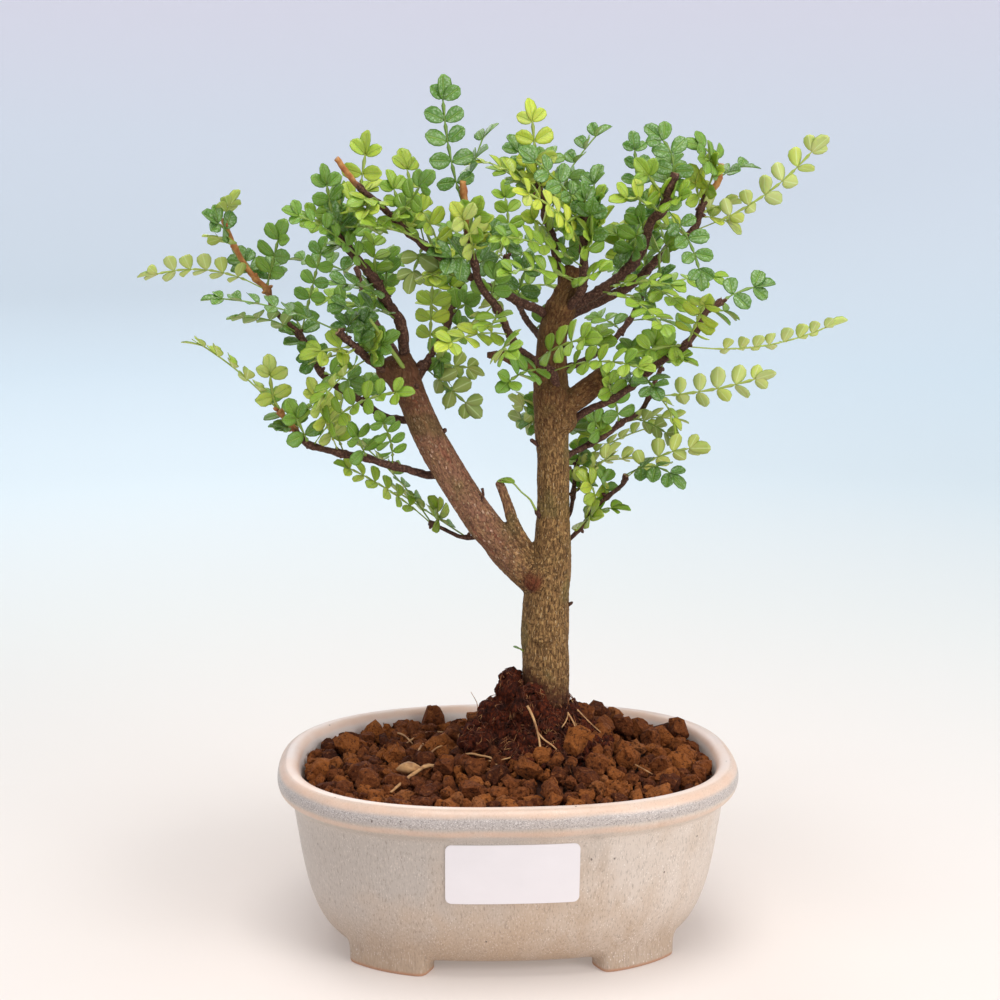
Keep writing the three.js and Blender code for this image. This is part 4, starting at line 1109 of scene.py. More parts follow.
# %% One body of wood
wood_lines = [SmoothLine(rows) for rows in (TRUNK_LINE, LIMB_LINE, *STUB_LINES)]
wood_tubes = []
for rows, line in zip((TRUNK_LINE, LIMB_LINE, *STUB_LINES), wood_lines):
    steps = int(line.length / 3)
    places = []
    for step in range(steps + 1):
        row = line.row_at(step / steps)
        radius = float(np.interp(row, range(len(rows)), [entry[3] for entry in rows]))
        places.append((line.at(step / steps), radius))
    wood_tubes.append(places)
for ridge in RIDGES:
    wood_tubes.append([(Vector(row[:3]), row[3]) for row in ridge])
trunk = tubes(wood_tubes, 8)
for x, y, z, radius in KNOTS:
    join_ball(trunk, (x, y, z), radius)
apply_modifier(trunk, "REMESH", mode="VOXEL", voxel_size=0.62)
apply_modifier(trunk, "SMOOTH", factor=0.5, iterations=4)
print("points of the wood:", len(trunk.data.vertices))

# %% Along the grain
GRAIN_SQUEEZE = 0.38  # lengths along the wood are read this much shorter, so patterns draw out along it


def grain_of(points):
    """For each point, its place across its limb's middle line and along it."""
    nearest = np.full(len(points), 1e9)
    grain = np.zeros((len(points), 3))
    for number, (rows, line) in enumerate(zip((TRUNK_LINE, LIMB_LINE, *STUB_LINES), wood_lines)):
        spots = line.spots
        radii = np.interp(line.rows, range(len(rows)), [entry[3] for entry in rows])
        away = np.linalg.norm(points[:, None, :] - spots[None, :, :], axis=2)
        closest = (away - radii).argmin(axis=1)
        depth = (away - radii)[np.arange(len(points)), closest]
        better = depth < nearest
        nearest[better] = depth[better]
        offset = points - spots[closest]
        along = line.walked[closest] * GRAIN_SQUEEZE + 40 * number
        grain[better] = np.stack([offset[:, 0], offset[:, 1], along], axis=1)[better]
    return grain


TORN_TOP = 243  # height from which the top of the trunk is ragged
mesh = trunk.data
points = np.zeros(len(mesh.vertices) * 3)
mesh.vertices.foreach_get("co", points)
points = points.reshape(-1, 3)
grain = np.concatenate([grain_of(points[start : start + 4000]) for start in range(0, len(points), 4000)])
normals = np.zeros(len(mesh.vertices) * 3)
mesh.vertices.foreach_get("normal", normals)
normals = normals.reshape(-1, 3)
for index, (place, across) in enumerate(zip(points, grain)):
    furrow = 1 - abs(noise.noise(Vector(across) / 1.1))
    ridge = noise.noise(Vector(across) / 3.4)
    lump = noise.noise(Vector(place) / 9)
    push = -0.2 * max(0, furrow - 0.86) / 0.14 + 0.22 * ridge + 0.45 * lump
    push += 0.12 * noise.noise(Vector(place) / 1.1)
    if place[2] > TORN_TOP:
        push += 1.2 * noise.noise(Vector(place) / 2.2)
    points[index] = place + normals[index] * push
mesh.vertices.foreach_set("co", points.ravel())
stored = mesh.attributes.new("grain", "FLOAT_VECTOR", "POINT")
stored.data.foreach_set("vector", grain.astype(np.float32).ravel())
mesh.update()
bpy.context.view_layer.objects.active = trunk
bpy.ops.object.shade_smooth()

# %% [markdown]
# ## Bark
#
# The bark is a soft olive brown, full of fine dark cracks and short pale golden flecks that run along the
# grain. The limb is redder than the trunk, with pinkish pores. A rusty scar sits in the fork, and wet
# peat has stained the foot. Higher up, under the crown, the bark is painted darker: painted shade from
# the leaves.

# %% The bark
SCAR = (8, -9, 136)
bark = Paint("trunk_bark")
here = bark.here()
grain_value = bark.attribute("grain", "Vector")
fine = bark.noise(grain_value, 0.75, 5, 0.7)
broad = bark.noise(grain_value, 4.5, 3, 0.6)
BARK_TONES = ((0.3, "3f2a14"), (0.42, "715030"), (0.54, "9b7446"), (0.64, "be965f"), (0.78, "dcb984"))
bark_tone = bark.ramp(fine, *BARK_TONES)
limb_red = (12 - here.part(0)).rises(0, 22) * here.part(2).rises(128, 140)
bark_tone = bark.mix(bark_tone, "9a6a58", (0.35 + broad * 0.5) * limb_red)
red_bands = bark.noise(grain_value.stretched(1, 1, 0.3), 2.2, 2).rises(0.56, 0.7)
bark_tone = bark.mix(bark_tone, "96523d", red_bands * limb_red * 0.6)
bark_tone = bark.mix(bark_tone, "77703f", bark.noise(here, 13, 2).rises(0.5, 0.66) * 0.4)
cracks = abs(bark.noise(grain_value, 1.0, 3, 0.6) - 0.5).rises(0.04, 0.0)
bark_tone = bark.mix(bark_tone, "3d2714", cracks * (0.6 - limb_red * 0.3))
flecks = bark.cells(grain_value, 0.85).rises(0.3, 0.12) * bark.noise(here, 1.6, 1).rises(0.44, 0.56)
bark_tone = bark.mix(bark_tone, "e6c596", flecks * 0.7)
dots = bark.cells(grain_value.stretched(1, 1, 1.4), 1.7).rises(0.28, 0.16) * limb_red
bark_tone = bark.mix(bark_tone, "dcb396", dots * bark.noise(here, 2.5, 1).rises(0.4, 0.55) * 0.75)
from_scar = bark.node("ShaderNodeVectorMath", {"operation": "DISTANCE"}, {0: here, 1: SCAR}, "Value")
scar = (from_scar + broad * 6).rises(9.5, 5)
bark_tone = bark.mix(bark_tone, "6b2a17", scar * 0.75)
soaked = (here.part(2) + (bark.noise(here, 3, 4, 0.7) - 0.5) * 22 + here.part(0) * 0.45).rises(108, 100)
bark_tone = bark.mix(bark_tone, "4a2110", soaked * 0.85)
bark_tone = bark.mix(bark_tone, "c4935c", soaked * flecks * (here.part(0) - 8).rises(0, 8) * 0.7)
# Painted shade: the wood is darker from about 176 mm up, where the crown shades it.
shade_under_crown = here.part(2).rises(176, 216)
bark_tone = bark.mix(bark_tone, "5c3218", shade_under_crown * 0.62)
bark_relief = fine * 0.9 - cracks * 0.5 + flecks * 0.4 + dots * 0.4 + broad * 0.3
bark_material = bark.finish(bark_tone, 0.7 + fine * 0.2, bark_relief, 0.75, Specular_IOR_Level=0.22)
trunk.data.materials.append(bark_material)
settle(trunk, "bark_trunk", "bark", "trunk")

# %% [markdown]
# ## Where the branches grow
#
# Each branch is a twig and its compound leaves. The twig is a smooth line that gets thinner. A leaf is
# written as the share of the twig's length where it grows, the place of its tip, how many pairs of
# leaflets it has, which way it faces, how it bows, and a letter for its green: deep, mid, bright, yellow
# or pale. The letters hold the leaf's own green and painted light as well: deep also marks leaves that
# stand in shade, and pale stands for leaves lit through from behind.

# %% The branches
BRANCHES = {
    "left_upper": {
        "radii": (3.3, 1.6), "young": 0.0,
        "line": [
            (-38, -7, 218), (-38, -8, 226), (-39, -9, 232), (-44, -12, 240), (-47, -14, 246),
            (-54, -17, 255), (-59, -19, 261), (-64, -21, 268),
        ],
        "leaves": [
            (0.93, -65, -24, 288, 4, 60, 0, "m"), (0.56, -79, -36, 272, 6, 35, 4, "m"),
            (0.44, -63, -34, 246, 4, 15, 2, "d"), (0.96, -43, -34, 281, 4, 40, 3, "y"),
            (0.98, -76, -22, 271, 2, 50, 0, "b"), (0.53, -49, -2, 266, 4, 60, 0, "b"),
            (0.43, -43, 2, 261, 3, 60, 0, "m"), (0.25, -64, -32, 238, 4, 20, 3, "d"),
            (0.82, -56, -8, 274, 3, 60, 0, "b"),
        ],
    },
    "left_far": {
        "radii": (2.2, 1.1), "young": 0.3,
        "line": [
            (-35, -1, 196), (-41, 2, 196), (-46, 5, 197), (-55, 8, 203), (-62, 9, 207), (-69, 10, 213),
            (-73, 11, 221), (-77, 12, 227), (-86, 12, 236), (-88, 12, 243), (-93, 11, 248),
            (-98, 10, 256), (-101, 9, 263), (-103, 8, 269),
        ],
        "leaves": [
            (0.71, -133, -5, 247, 6, -45, 6, "p"), (0.99, -94, 6, 275, 2, -20, 3, "y"),
            (0.9, -110, 4, 265, 2, -20, 0, "y"), (0.77, -100, 18, 260, 4, 60, 0, "d"),
            (0.72, -81, 2, 269, 5, 65, 0, "m"), (0.52, -66, 2, 263, 5, 70, 0, "m"),
            (0.53, -102, -4, 233, 4, -30, 3, "d"), (0.38, -52, -2, 209, 3, 60, 0, "m"),
            (0.27, -69, 22, 197, 3, 40, -2, "y"), (0.46, -85, 24, 229, 4, 30, 2, "d"),
            (0.2, -50, 18, 213, 4, 60, 0, "m"),
        ],
    },
    "left_short": {
        "radii": (2.4, 1.4), "young": 0.0,
        "line": [
            (-41, -9, 214), (-46, -12, 216), (-51, -15, 220), (-56, -18, 225), (-61, -20, 230),
        ],
        "leaves": [
            (0.98, -108, -28, 242, 7, 15, 3, "d"), (0.64, -72, -22, 219, 4, 0, 0, "y"),
            (0.87, -56, -8, 236, 2, 70, 0, "d"), (0.45, -68, -40, 204, 6, 5, 2, "b"),
            (0.5, -40, -24, 230, 3, 60, 0, "m"),
        ],
    },
    "left_low": {
        "radii": (2.3, 1.1), "young": 0.12,
        "line": [
            (-23, 0, 175), (-32, -1, 176), (-37, -3, 178), (-44, -5, 180), (-52, -8, 183),
            (-61, -10, 185), (-68, -11, 187), (-73, -12, 189), (-78, -12, 195), (-83, -12, 201),
        ],
        "leaves": [
            (1, -84, -14, 222, 6, 80, -2, "p"), (0.99, -115, -20, 229, 5, -10, 2, "y"),
            (0.82, -90, 0, 209, 4, 60, 0, "m"), (0.88, -87, -14, 195, 2, 10, 0, "d"),
            (0.74, -34, -36, 210, 6, 50, 6, "b"), (0.57, -68, 2, 204, 4, 60, 0, "y"),
            (0.6, -72, -20, 214, 4, 50, 0, "p"), (0.3, -48, -16, 202, 4, 75, 2, "m"),
            (0.76, -79, -22, 206, 3, 60, 0, "m"), (0.45, -56, -24, 197, 3, 60, 0, "m"),
        ],
    },
    "left_hanging": {
        "radii": (1.2, 0.9), "young": 0.0,
        "line": [
            (-6, 4, 150), (-10, 8, 150), (-13, 9, 150), (-17, 10, 150), (-22, 12, 152), (-29, 14, 155),
        ],
        "leaves": [
            (0.98, -64, -2, 181, 7, 30, 2, "y"), (0.96, -59, 24, 187, 5, 5, 2, "m"),
            (0.4, -46, 28, 168, 5, -10, 0, "m"),
        ],
    },
    "left_inner": {
        "radii": (2.1, 1.1), "young": 0.0,
        "line": [
            (-35, -2, 207), (-31, 3, 214), (-28, 7, 219), (-23, 12, 227), (-20, 16, 235), (-17, 19, 244),
            (-15, 21, 251),
        ],
        "leaves": [
            (0.24, -7, 2, 214, 4, -60, 0, "b"), (0.2, -9, 6, 196, 4, -70, 0, "m"),
            (0.66, -10, 4, 241, 2, 70, 0, "m"), (0.28, -27, 2, 253, 6, 80, 0, "y"),
            (0.48, -12, 24, 232, 3, 60, 0, "m"), (0.94, -3, 4, 254, 4, 40, 2, "d"),
            (0.98, -24, 30, 266, 5, 70, 0, "m"), (0.58, -32, 26, 242, 4, 60, 0, "y"),
            (1, -7, 28, 268, 5, 70, 0, "m"),
        ],
    },
    "front_left": {
        "radii": (2.6, 1.2), "young": 0.1,
        "line": [
            (15, 0, 234), (9, -3, 237), (4, -6, 239), (-3, -9, 243), (-10, -12, 246), (-16, -15, 250),
            (-22, -18, 254), (-31, -22, 260), (-40, -26, 268), (-46, -29, 274), (-53, -31, 280),
            (-60, -34, 289),
        ],
        "leaves": [
            (0.87, -49, -30, 299, 4, 70, 0, "y"), (0.79, -55, -40, 273, 2, 30, 2, "b"),
            (0.56, -38, -14, 294, 6, 60, 0, "y"), (0.64, -43, -18, 286, 5, 60, 0, "b"),
            (0.49, -36, -32, 277, 5, 45, 2, "y"), (0.45, -53, -48, 266, 7, 15, 4, "b"),
            (0.44, -34, -30, 250, 3, 20, -2, "y"), (0.57, -37, -16, 243, 4, -60, 0, "m"),
            (0.22, -17, -6, 230, 4, -30, -2, "b"), (0.7, -28, -30, 285, 5, 50, 0, "m"),
        ],
    },
    "front_tall": {
        "radii": (2.4, 1.3), "young": 0.17,
        "line": [
            (18, -3, 205), (16, -8, 213), (12, -10, 217), (4, -13, 222), (0, -15, 228), (-5, -18, 238),
            (-11, -20, 246), (-13, -21, 254), (-15, -22, 262), (-16, -23, 272), (-17, -24, 282),
        ],
        "leaves": [
            (0.87, -24, -26, 318, 7, 80, -2, "t"), (0.68, -21, -38, 274, 5, 60, 2, "p"),
            (0.96, -7, -18, 304, 3, 20, 0, "d"), (0.2, 29, -42, 229, 4, 40, 2, "b"),
            (0.13, -5, -38, 210, 5, 55, 3, "m"), (0.12, 48, -46, 217, 6, 45, 4, "b"),
            (0.36, -27, -42, 224, 4, 40, 3, "y"), (0.32, -1, -56, 225, 3, 40, 4, "b"),
            (0.48, -12, -40, 231, 3, 30, -2, "b"), (0.77, -5, -36, 268, 3, 40, 2, "y"),
        ],
    },
    "crown_centre": {
        "radii": (2.4, 1.3), "young": 0.0,
        "line": [
            (20, 4, 240), (20, 5, 248), (18, 5, 255), (17, 5, 261), (14, 4, 270), (12, 4, 278),
            (11, 3, 283),
        ],
        "leaves": [
            (1, 8, 0, 312, 6, 80, 0, "l"), (0.87, 17, 14, 297, 4, 60, 0, "m"),
            (0.88, 1, 12, 300, 4, 60, 0, "d"), (0.85, -8, 4, 288, 5, 40, 2, "b"),
            (0.7, 38, 10, 304, 5, 20, 2, "d"), (0.68, 27, 18, 290, 4, 60, 0, "m"),
            (0.85, -16, -20, 290, 6, 10, 3, "y"), (0.47, 4, -14, 270, 4, 50, 2, "y"),
            (0.53, 28, 26, 266, 4, 50, 2, "m"),
        ],
    },
    "crown_front": {
        "radii": (2.4, 1.6), "young": 0.05,
        "line": [
            (21, -3, 236), (26, -7, 243), (27, -8, 249), (27, -8, 258), (27, -9, 267), (26, -10, 277),
        ],
        "leaves": [
            (0.54, 0, -38, 279, 6, 35, 4, "l"), (0.85, 2, -16, 293, 6, 45, 2, "d"),
            (0.74, 33, -4, 289, 4, 50, 0, "d"), (0.61, 29, -20, 277, 3, 75, 0, "d"),
            (0.56, 36, -24, 274, 4, 20, 0, "y"), (0.41, -8, -32, 263, 6, 30, 3, "b"),
            (0.25, -6, -44, 250, 6, 25, 4, "b"), (0.32, 35, -32, 252, 3, 45, 2, "b"),
            (0.68, 19, 6, 281, 4, 60, 0, "b"),
        ],
    },
    "right_upper": {
        "radii": (3, 1.8), "young": 0.0,
        "line": [
            (22, 0, 236), (34, 0, 243), (40, 0, 247), (48, 0, 256), (50, 0, 261), (52, -1, 268),
            (56, -3, 272), (58, -5, 279), (60, -6, 285),
        ],
        "leaves": [
            (0.9, 47, -8, 301, 4, 75, 6, "d"), (0.57, 46, 8, 301, 5, 75, 0, "d"),
            (0.76, 35, -20, 275, 4, 45, 3, "y"), (0.43, 47, -16, 274, 3, 50, 0, "m"),
            (0.83, 64, -18, 278, 2, 40, 0, "b"), (0.81, 69, -14, 243, 5, 70, 3, "d"),
            (0.24, 61, -28, 245, 5, 15, 2, "b"), (0.46, 35, 12, 267, 5, 50, 2, "m"),
            (0.38, 44, 18, 270, 5, 60, 0, "y"), (0.89, 61, 12, 294, 4, 60, 0, "d"),
            (0.2, 53, -42, 229, 6, 30, 4, "b"), (0.3, 62, -30, 237, 6, 20, 3, "b"),
        ],
    },
    "right_far": {
        "radii": (2.8, 1.4), "young": 0.12,
        "line": [
            (20, 3, 232), (29, 9, 236), (38, 11, 240), (46, 12, 244), (54, 13, 251), (61, 15, 258),
            (66, 16, 261), (71, 17, 265), (74, 17, 275), (79, 16, 282), (80, 15, 289),
        ],
        "leaves": [
            (0.7, 117, 5, 300, 6, -60, -5, "p"), (0.94, 96, 18, 288, 3, 20, 2, "d"),
            (0.83, 78, 4, 293, 4, 30, 0, "y"), (0.5, 62, -6, 260, 3, 40, 2, "b"),
            (0.8, 68, 10, 289, 4, 60, 0, "y"), (0.44, 53, 30, 268, 4, 60, 0, "m"),
            (0.56, 58, 32, 274, 4, 60, 0, "m"), (0.77, 90, 24, 273, 4, -20, 2, "p"),
        ],
    },
    "right_middle": {
        "radii": (2.2, 1.3), "young": 0.0,
        "line": [
            (18, 1, 189), (25, -1, 196), (30, -4, 200), (36, -7, 203), (45, -10, 209), (52, -12, 216),
            (62, -14, 223), (67, -15, 229), (69, -16, 235), (76, -17, 240),
        ],
        "leaves": [
            (0.73, 122, -14, 234, 8, -35, -5, "p"), (0.75, 66, -30, 244, 5, 70, 0, "y"),
            (0.99, 96, -14, 245, 4, 50, 2, "d"), (0.33, 34, 4, 217, 3, 60, 0, "b"),
            (0.56, 54, -8, 232, 3, 75, 0, "b"), (0.54, 42, 2, 226, 3, 60, 0, "m"),
            (0.9, 84, -4, 233, 3, 30, 2, "m"), (0.85, 60, -4, 240, 4, 50, 2, "b"),
        ],
    },
    "right_thin": {
        "radii": (1.8, 1), "young": 0.0,
        "line": [
            (18, 3, 178), (23, 8, 181), (32, 12, 185), (38, 14, 188), (45, 16, 193), (52, 18, 197),
            (57, 20, 207), (60, 21, 213),
        ],
        "leaves": [
            (0.8, 102, 10, 212, 5, -75, -2, "p"), (0.54, 72, 28, 191, 4, -20, 2, "y"),
            (0.61, 66, 10, 184, 3, -40, 2, "m"), (0.4, 30, 4, 199, 3, 60, 0, "m"),
            (0.53, 40, 10, 208, 4, 60, 0, "m"), (0.3, 37, 22, 197, 3, 60, 0, "y"),
            (1, 63, 24, 227, 3, 60, 0, "m"),
        ],
    },
    "right_low": {
        "radii": (1.4, 0.9), "young": 0.0,
        "line": [
            (18, 5, 144), (23, 9, 148), (28, 9, 153), (33, 9, 160), (39, 8, 166), (44, 8, 170),
            (45, 7, 174),
        ],
        "leaves": [
            (0.95, 77, 4, 184, 5, -60, 4, "y"), (0.99, 65, -8, 170, 4, 30, 6, "d"),
            (0.35, 47, 4, 159, 3, 20, 5, "b"), (0.58, 25, 4, 175, 3, 40, 3, "y"),
            (0.72, 36, 16, 177, 3, 50, 0, "m"),
        ],
    },
    "right_behind": {
        "radii": (1.3, 0.9), "young": 0.0,
        "line": [
            (17, 5, 152), (20, 13, 153), (22, 15, 154), (25, 17, 158), (26, 18, 163), (27, 20, 171),
            (28, 22, 176),
        ],
        "leaves": [
            (1, 62, 34, 190, 6, -20, 2, "y"), (0.92, 54, 30, 176, 5, -30, 2, "p"),
            (0.65, 46, 26, 183, 5, -50, 2, "y"), (1, 31, 16, 187, 2, 60, 0, "m"),
            (0.7, 36, 26, 170, 2, 40, 0, "m"),
        ],
    },
    "back_low": {
        "radii": (1.6, 1.1), "young": 0.0,
        "line": [
            (17, 4, 186), (18, 14, 188), (17, 24, 189), (17, 32, 190),
        ],
        "leaves": [
            (0.6, 3, 34, 202, 4, -40, 0, "y"), (0.75, 3, 40, 193, 4, -50, 0, "m"),
            (1, 30, 56, 200, 5, 40, 2, "m"), (0.98, 17, 62, 204, 4, 50, 2, "d"),
        ],
    },
    "back_left": {
        "radii": (2, 1.1), "young": 0.0,
        "line": [
            (-38, -5, 214), (-42, 8, 222), (-48, 20, 230), (-53, 32, 240), (-56, 42, 250),
        ],
        "leaves": [
            (1, -62, 50, 276, 5, 60, 2, "m"), (0.9, -84, 52, 252, 5, 30, 3, "d"),
            (0.8, -34, 52, 256, 5, 40, 2, "m"), (0.6, -78, 36, 240, 4, 30, 2, "b"),
            (0.95, -50, 74, 262, 4, 20, 3, "m"),
        ],
    },
    "back_middle": {
        "radii": (2.2, 1.1), "young": 0.0,
        "line": [
            (18, 3, 220), (14, 12, 224), (8, 26, 232), (4, 38, 242), (2, 48, 254),
        ],
        "leaves": [
            (1, 0, 52, 284, 5, 70, 2, "b"), (0.95, -26, 58, 266, 5, 30, 2, "m"),
            (0.9, 30, 58, 268, 5, 30, 2, "d"), (0.7, -22, 44, 238, 5, 30, 2, "m"),
            (0.75, 32, 46, 240, 4, 30, 2, "b"), (0.98, 4, 80, 262, 5, 20, 3, "y"),
        ],
    },
    "back_right": {
        "radii": (2, 1.1), "young": 0.0,
        "line": [
            (20, 3, 214), (28, 10, 216), (40, 22, 222), (50, 32, 232), (56, 40, 244),
        ],
        "leaves": [
            (1, 60, 44, 272, 5, 70, 2, "m"), (0.9, 90, 46, 246, 6, 30, 3, "b"),
            (0.7, 76, 40, 226, 4, 20, 2, "m"), (0.95, 56, 74, 256, 5, 20, 3, "d"),
            (0.6, 34, 46, 230, 4, 40, 2, "m"),
        ],
    },
}
# Deep (d, t) also serves as painted shade for shaded leaves, and pale (p) as painted light through backlit
# ones.
TINTS = {"d": 0.06, "t": 0.02, "m": 0.28, "b": 0.5, "y": 0.7, "l": 0.86, "p": 0.97}

# %% [markdown]
# ## Twigs
#
# Twigs are tubes that swell a little wherever a leaf grows, with a small bud beside each leaf, and end in
# a cut. Last year's wood is dark brown with pale pores. This year's tip is still orange-tan, and an
# attribute along the twig tells the two apart.

# %% The twig's bark
twig_paint = Paint("twig_bark")
here = twig_paint.here()
young = twig_paint.attribute("tint")
speck = twig_paint.noise(here, 0.8, 4, 0.65)
old_tone = twig_paint.ramp(speck, (0.32, "2e1a12"), (0.5, "4f3226"), (0.62, "694838"), (0.78, "a0826a"))
young_tone = twig_paint.mix("9c5c33", "c08c50", twig_paint.noise(here, 2.5, 3).rises(0.3, 0.7))
twig_tone = twig_paint.mix(old_tone, young_tone, (young + (speck - 0.5) * 0.5).rises(0.2, 0.8))
twig_shine = 0.62 + speck * 0.2
twig_material = twig_paint.finish(twig_tone, twig_shine, speck, 0.3, Specular_IOR_Level=0.25)

cut_paint = Paint("cut_wood")
here = cut_paint.here()
cut_material = cut_paint.finish(cut_paint.mix("c8a27c", "8a6040", cut_paint.noise(here, 0.8, 3)), 0.8)

# %% The twigs
TWIG_ROUNDNESS = 2  # a tube has 4 sides, and 2 more for each step of roundness
BUD_ROWS = ((0.5, 0.7), (1.5, 0.75), (2.1, 0.6), (2.6, 0.25))  # how far out, and the radius there
TWIG_SLIMMING = (0.68, 0.86)  # of the plain twig's radius, at the foot and at the end
for name, branch in BRANCHES.items():
    line = SmoothLine(branch["line"])
    thick, thin_end = (radius * slim for radius, slim in zip(branch["radii"], TWIG_SLIMMING))
    steps = max(10, int(line.length / 1.3))
    joints = [leaf[0] for leaf in branch["leaves"]]
    places = []
    draw = random.Random(name)
    for step in range(steps + 1):
        share = step / steps
        row_share = line.row_at(share) / (len(branch["line"]) - 1)
        radius = thick + (thin_end - thick) * row_share
        swell = sum(math.exp(-(((share - joint) * line.length / 1.2) ** 2)) for joint in joints)
        wobble = Vector((draw.uniform(-1, 1), draw.uniform(-1, 1), draw.uniform(-1, 1))) * 0.13 * radius
        knobbly = radius * (1 + 0.07 * draw.uniform(-1, 1)) + 0.4 * min(1, swell)
        places.append((line.at(share) + wobble, knobbly))
    twig_lines = [places]
    for joint in joints:
        place = line.at(joint)
        out = Vector((draw.gauss(0, 1), draw.gauss(-0.5, 1), draw.gauss(0.3, 1))).normalized()
        twig_lines.append([(place + out * reach, radius) for reach, radius in BUD_ROWS])
    twig = tubes(twig_lines, TWIG_ROUNDNESS)
    middles = np.array([place for place, _ in places])
    points = np.array([vertex.co for vertex in twig.data.vertices])
    nearest = np.linalg.norm(points[:, None] - middles[None], axis=2).argmin(axis=1)
    ages = np.zeros(len(points))
    if branch["young"]:
        turn_from, turn_to = 1 - branch["young"] * 1.5, 1 - branch["young"] * 0.5
        ages = np.interp(nearest / steps, (turn_from, turn_to), (0, 1))
    store(twig.data, "tint", ages)
    twig.data.materials.append(twig_material)
    twig.data.materials.append(cut_material)
    heading = (places[-1][0] - places[-2][0]).normalized()
    for face in twig.data.polygons:
        at_end = all(nearest[corner] == steps for corner in face.vertices)
        face.material_index = int(at_end and face.normal.dot(heading) > 0.8)
    settle(twig, f"twig_{name}", "bark", f"leafy_{name}")

# %% Buds on the old wood
# Short pegs where a twig was cut or a bud sleeps: x, y, z and radius, from inside the wood outwards.
PEGS = [
    [(12.0, -2.0, 186.0, 1.0), (10.2, -2.4, 187.3, 0.8), (8.6, -2.6, 188.5, 0.75), (8.2, -2.6, 188.8, 0.3)],
    [
        (-25.8, -5, 189.4, 0.9), (-24.2, -5.4, 191.4, 0.7), (-23.2, -5.6, 192.8, 0.9),
        (-22.9, -5.6, 193.4, 0.4),
    ],
    [(-11.6, -6, 163.6, 1), (-10, -6.4, 166.4, 0.55), (-9.2, -6.6, 168.8, 0.45), (-9.7, -6.8, 171.3, 0.6)],
    [(-12.2, -6.4, 164.6, 0.8), (-13.0, -7.0, 166.4, 0.8), (-13.3, -7.0, 167.2, 0.4)],
    [(22.4, -2.0, 125.8, 0.8), (23.9, -2.2, 126.8, 0.6), (24.4, -2.2, 127.2, 0.3)],
    [(12.2, -2.6, 160.2, 1.4), (10.8, -3.0, 161.6, 1.1), (10.2, -3.2, 162.6, 0.6)],
    [(-33.6, -10.2, 208.8, 0.9), (-33.4, -12.2, 210.0, 0.7), (-33.3, -12.6, 210.3, 0.3)],
    [(-33.0, -9.6, 216.2, 1.2), (-31.6, -10.0, 217.8, 1.1), (-30.4, -10.0, 218.4, 0.6)],
    [(20.4, -4.0, 222.0, 1.2), (22.8, -4.8, 222.8, 0.9), (23.8, -5.0, 223.2, 0.4)],
    [(22.0, 3.0, 176.0, 0.9), (23.6, 3.6, 177.2, 0.7), (24.0, 3.6, 177.6, 0.3)],
]
pegs = tubes([[(Vector(row[:3]), row[3]) for row in peg] for peg in PEGS], 2)
pegs.data.materials.append(twig_material)
settle(pegs, "sleeping_buds", "bark", "trunk")

# %% [markdown]
# ## One leaflet
#
# A leaflet is 6 to 9 mm long, widest past its middle, blunt and slightly notched at the tip, with a
# faintly scalloped edge. A flat grid is pulled into that outline, folded a little along the midrib and
# arched. Solidify gives it its thickness, and gives its underside a paler green of its own. Three of
# them, each bent in its own way, are enough for variety.

# %% The leaflet
# Each row is how far along the leaflet, and how wide it is there for its widest.
LEAFLET_ROWS = [(0.0, 0.08), (0.12, 0.52), (0.32, 0.88), (0.56, 1.0), (0.8, 0.86), (0.97, 0.36)]
LEAFLET_ACROSS = 4
LEAFLET_THICKNESS = 0.03  # for its length
NOTCH = 0.02


def leaflet(fold, arch, twist):
    bpy.ops.object.select_all(action="DESELECT")
    rows = len(LEAFLET_ROWS) - 1
    bpy.ops.mesh.primitive_grid_add(x_subdivisions=LEAFLET_ACROSS, y_subdivisions=rows, size=1)
    blade = bpy.context.object
    for vertex in blade.data.vertices:
        across = 2 * vertex.co.x
        row = round((vertex.co.y + 0.5) * rows)
        along, wide = LEAFLET_ROWS[row]
        scallop = 1 + (0.025 if row % 2 else -0.015)
        side = 0.5 * wide * across * (scallop if abs(across) > 0.9 else 1)
        if row == rows:
            along -= 0.05 * abs(across) ** 3 + NOTCH * (1 - min(1, 2 * abs(across)))
        height = fold * abs(side) - arch * along**2 + twist * side * along
        vertex.co = (side, along, height)
    blade.data.materials.append(None)
    blade.data.materials.append(None)
    apply_modifier(blade, "SOLIDIFY", thickness=LEAFLET_THICKNESS, offset=-1, material_offset=1)
    return shape_of(blade)


leaflets = [leaflet(0.24, 0.06, 0.14), leaflet(0.12, 0.14, -0.16), leaflet(0.34, 0.0, 0.0)]
print("faces of a leaflet:", len(leaflets[0].faces))

# %% [markdown]
# ## Leaf greens
#
# The upper side is glossy, with a painted bluish sheen between the veins, which stands for the reflection
# of the bright light above, a fine midrib and a darker rim. The underside is matt and paler. The `tint`
# of each leaflet runs from the deep blue-green of old leaves to the yellow-green of young ones; its deep
# end also serves as painted shade for leaves in shadow, and its palest as painted light through backlit
# leaves. Light passes through such thin blades, which a little subsurface scattering gives.

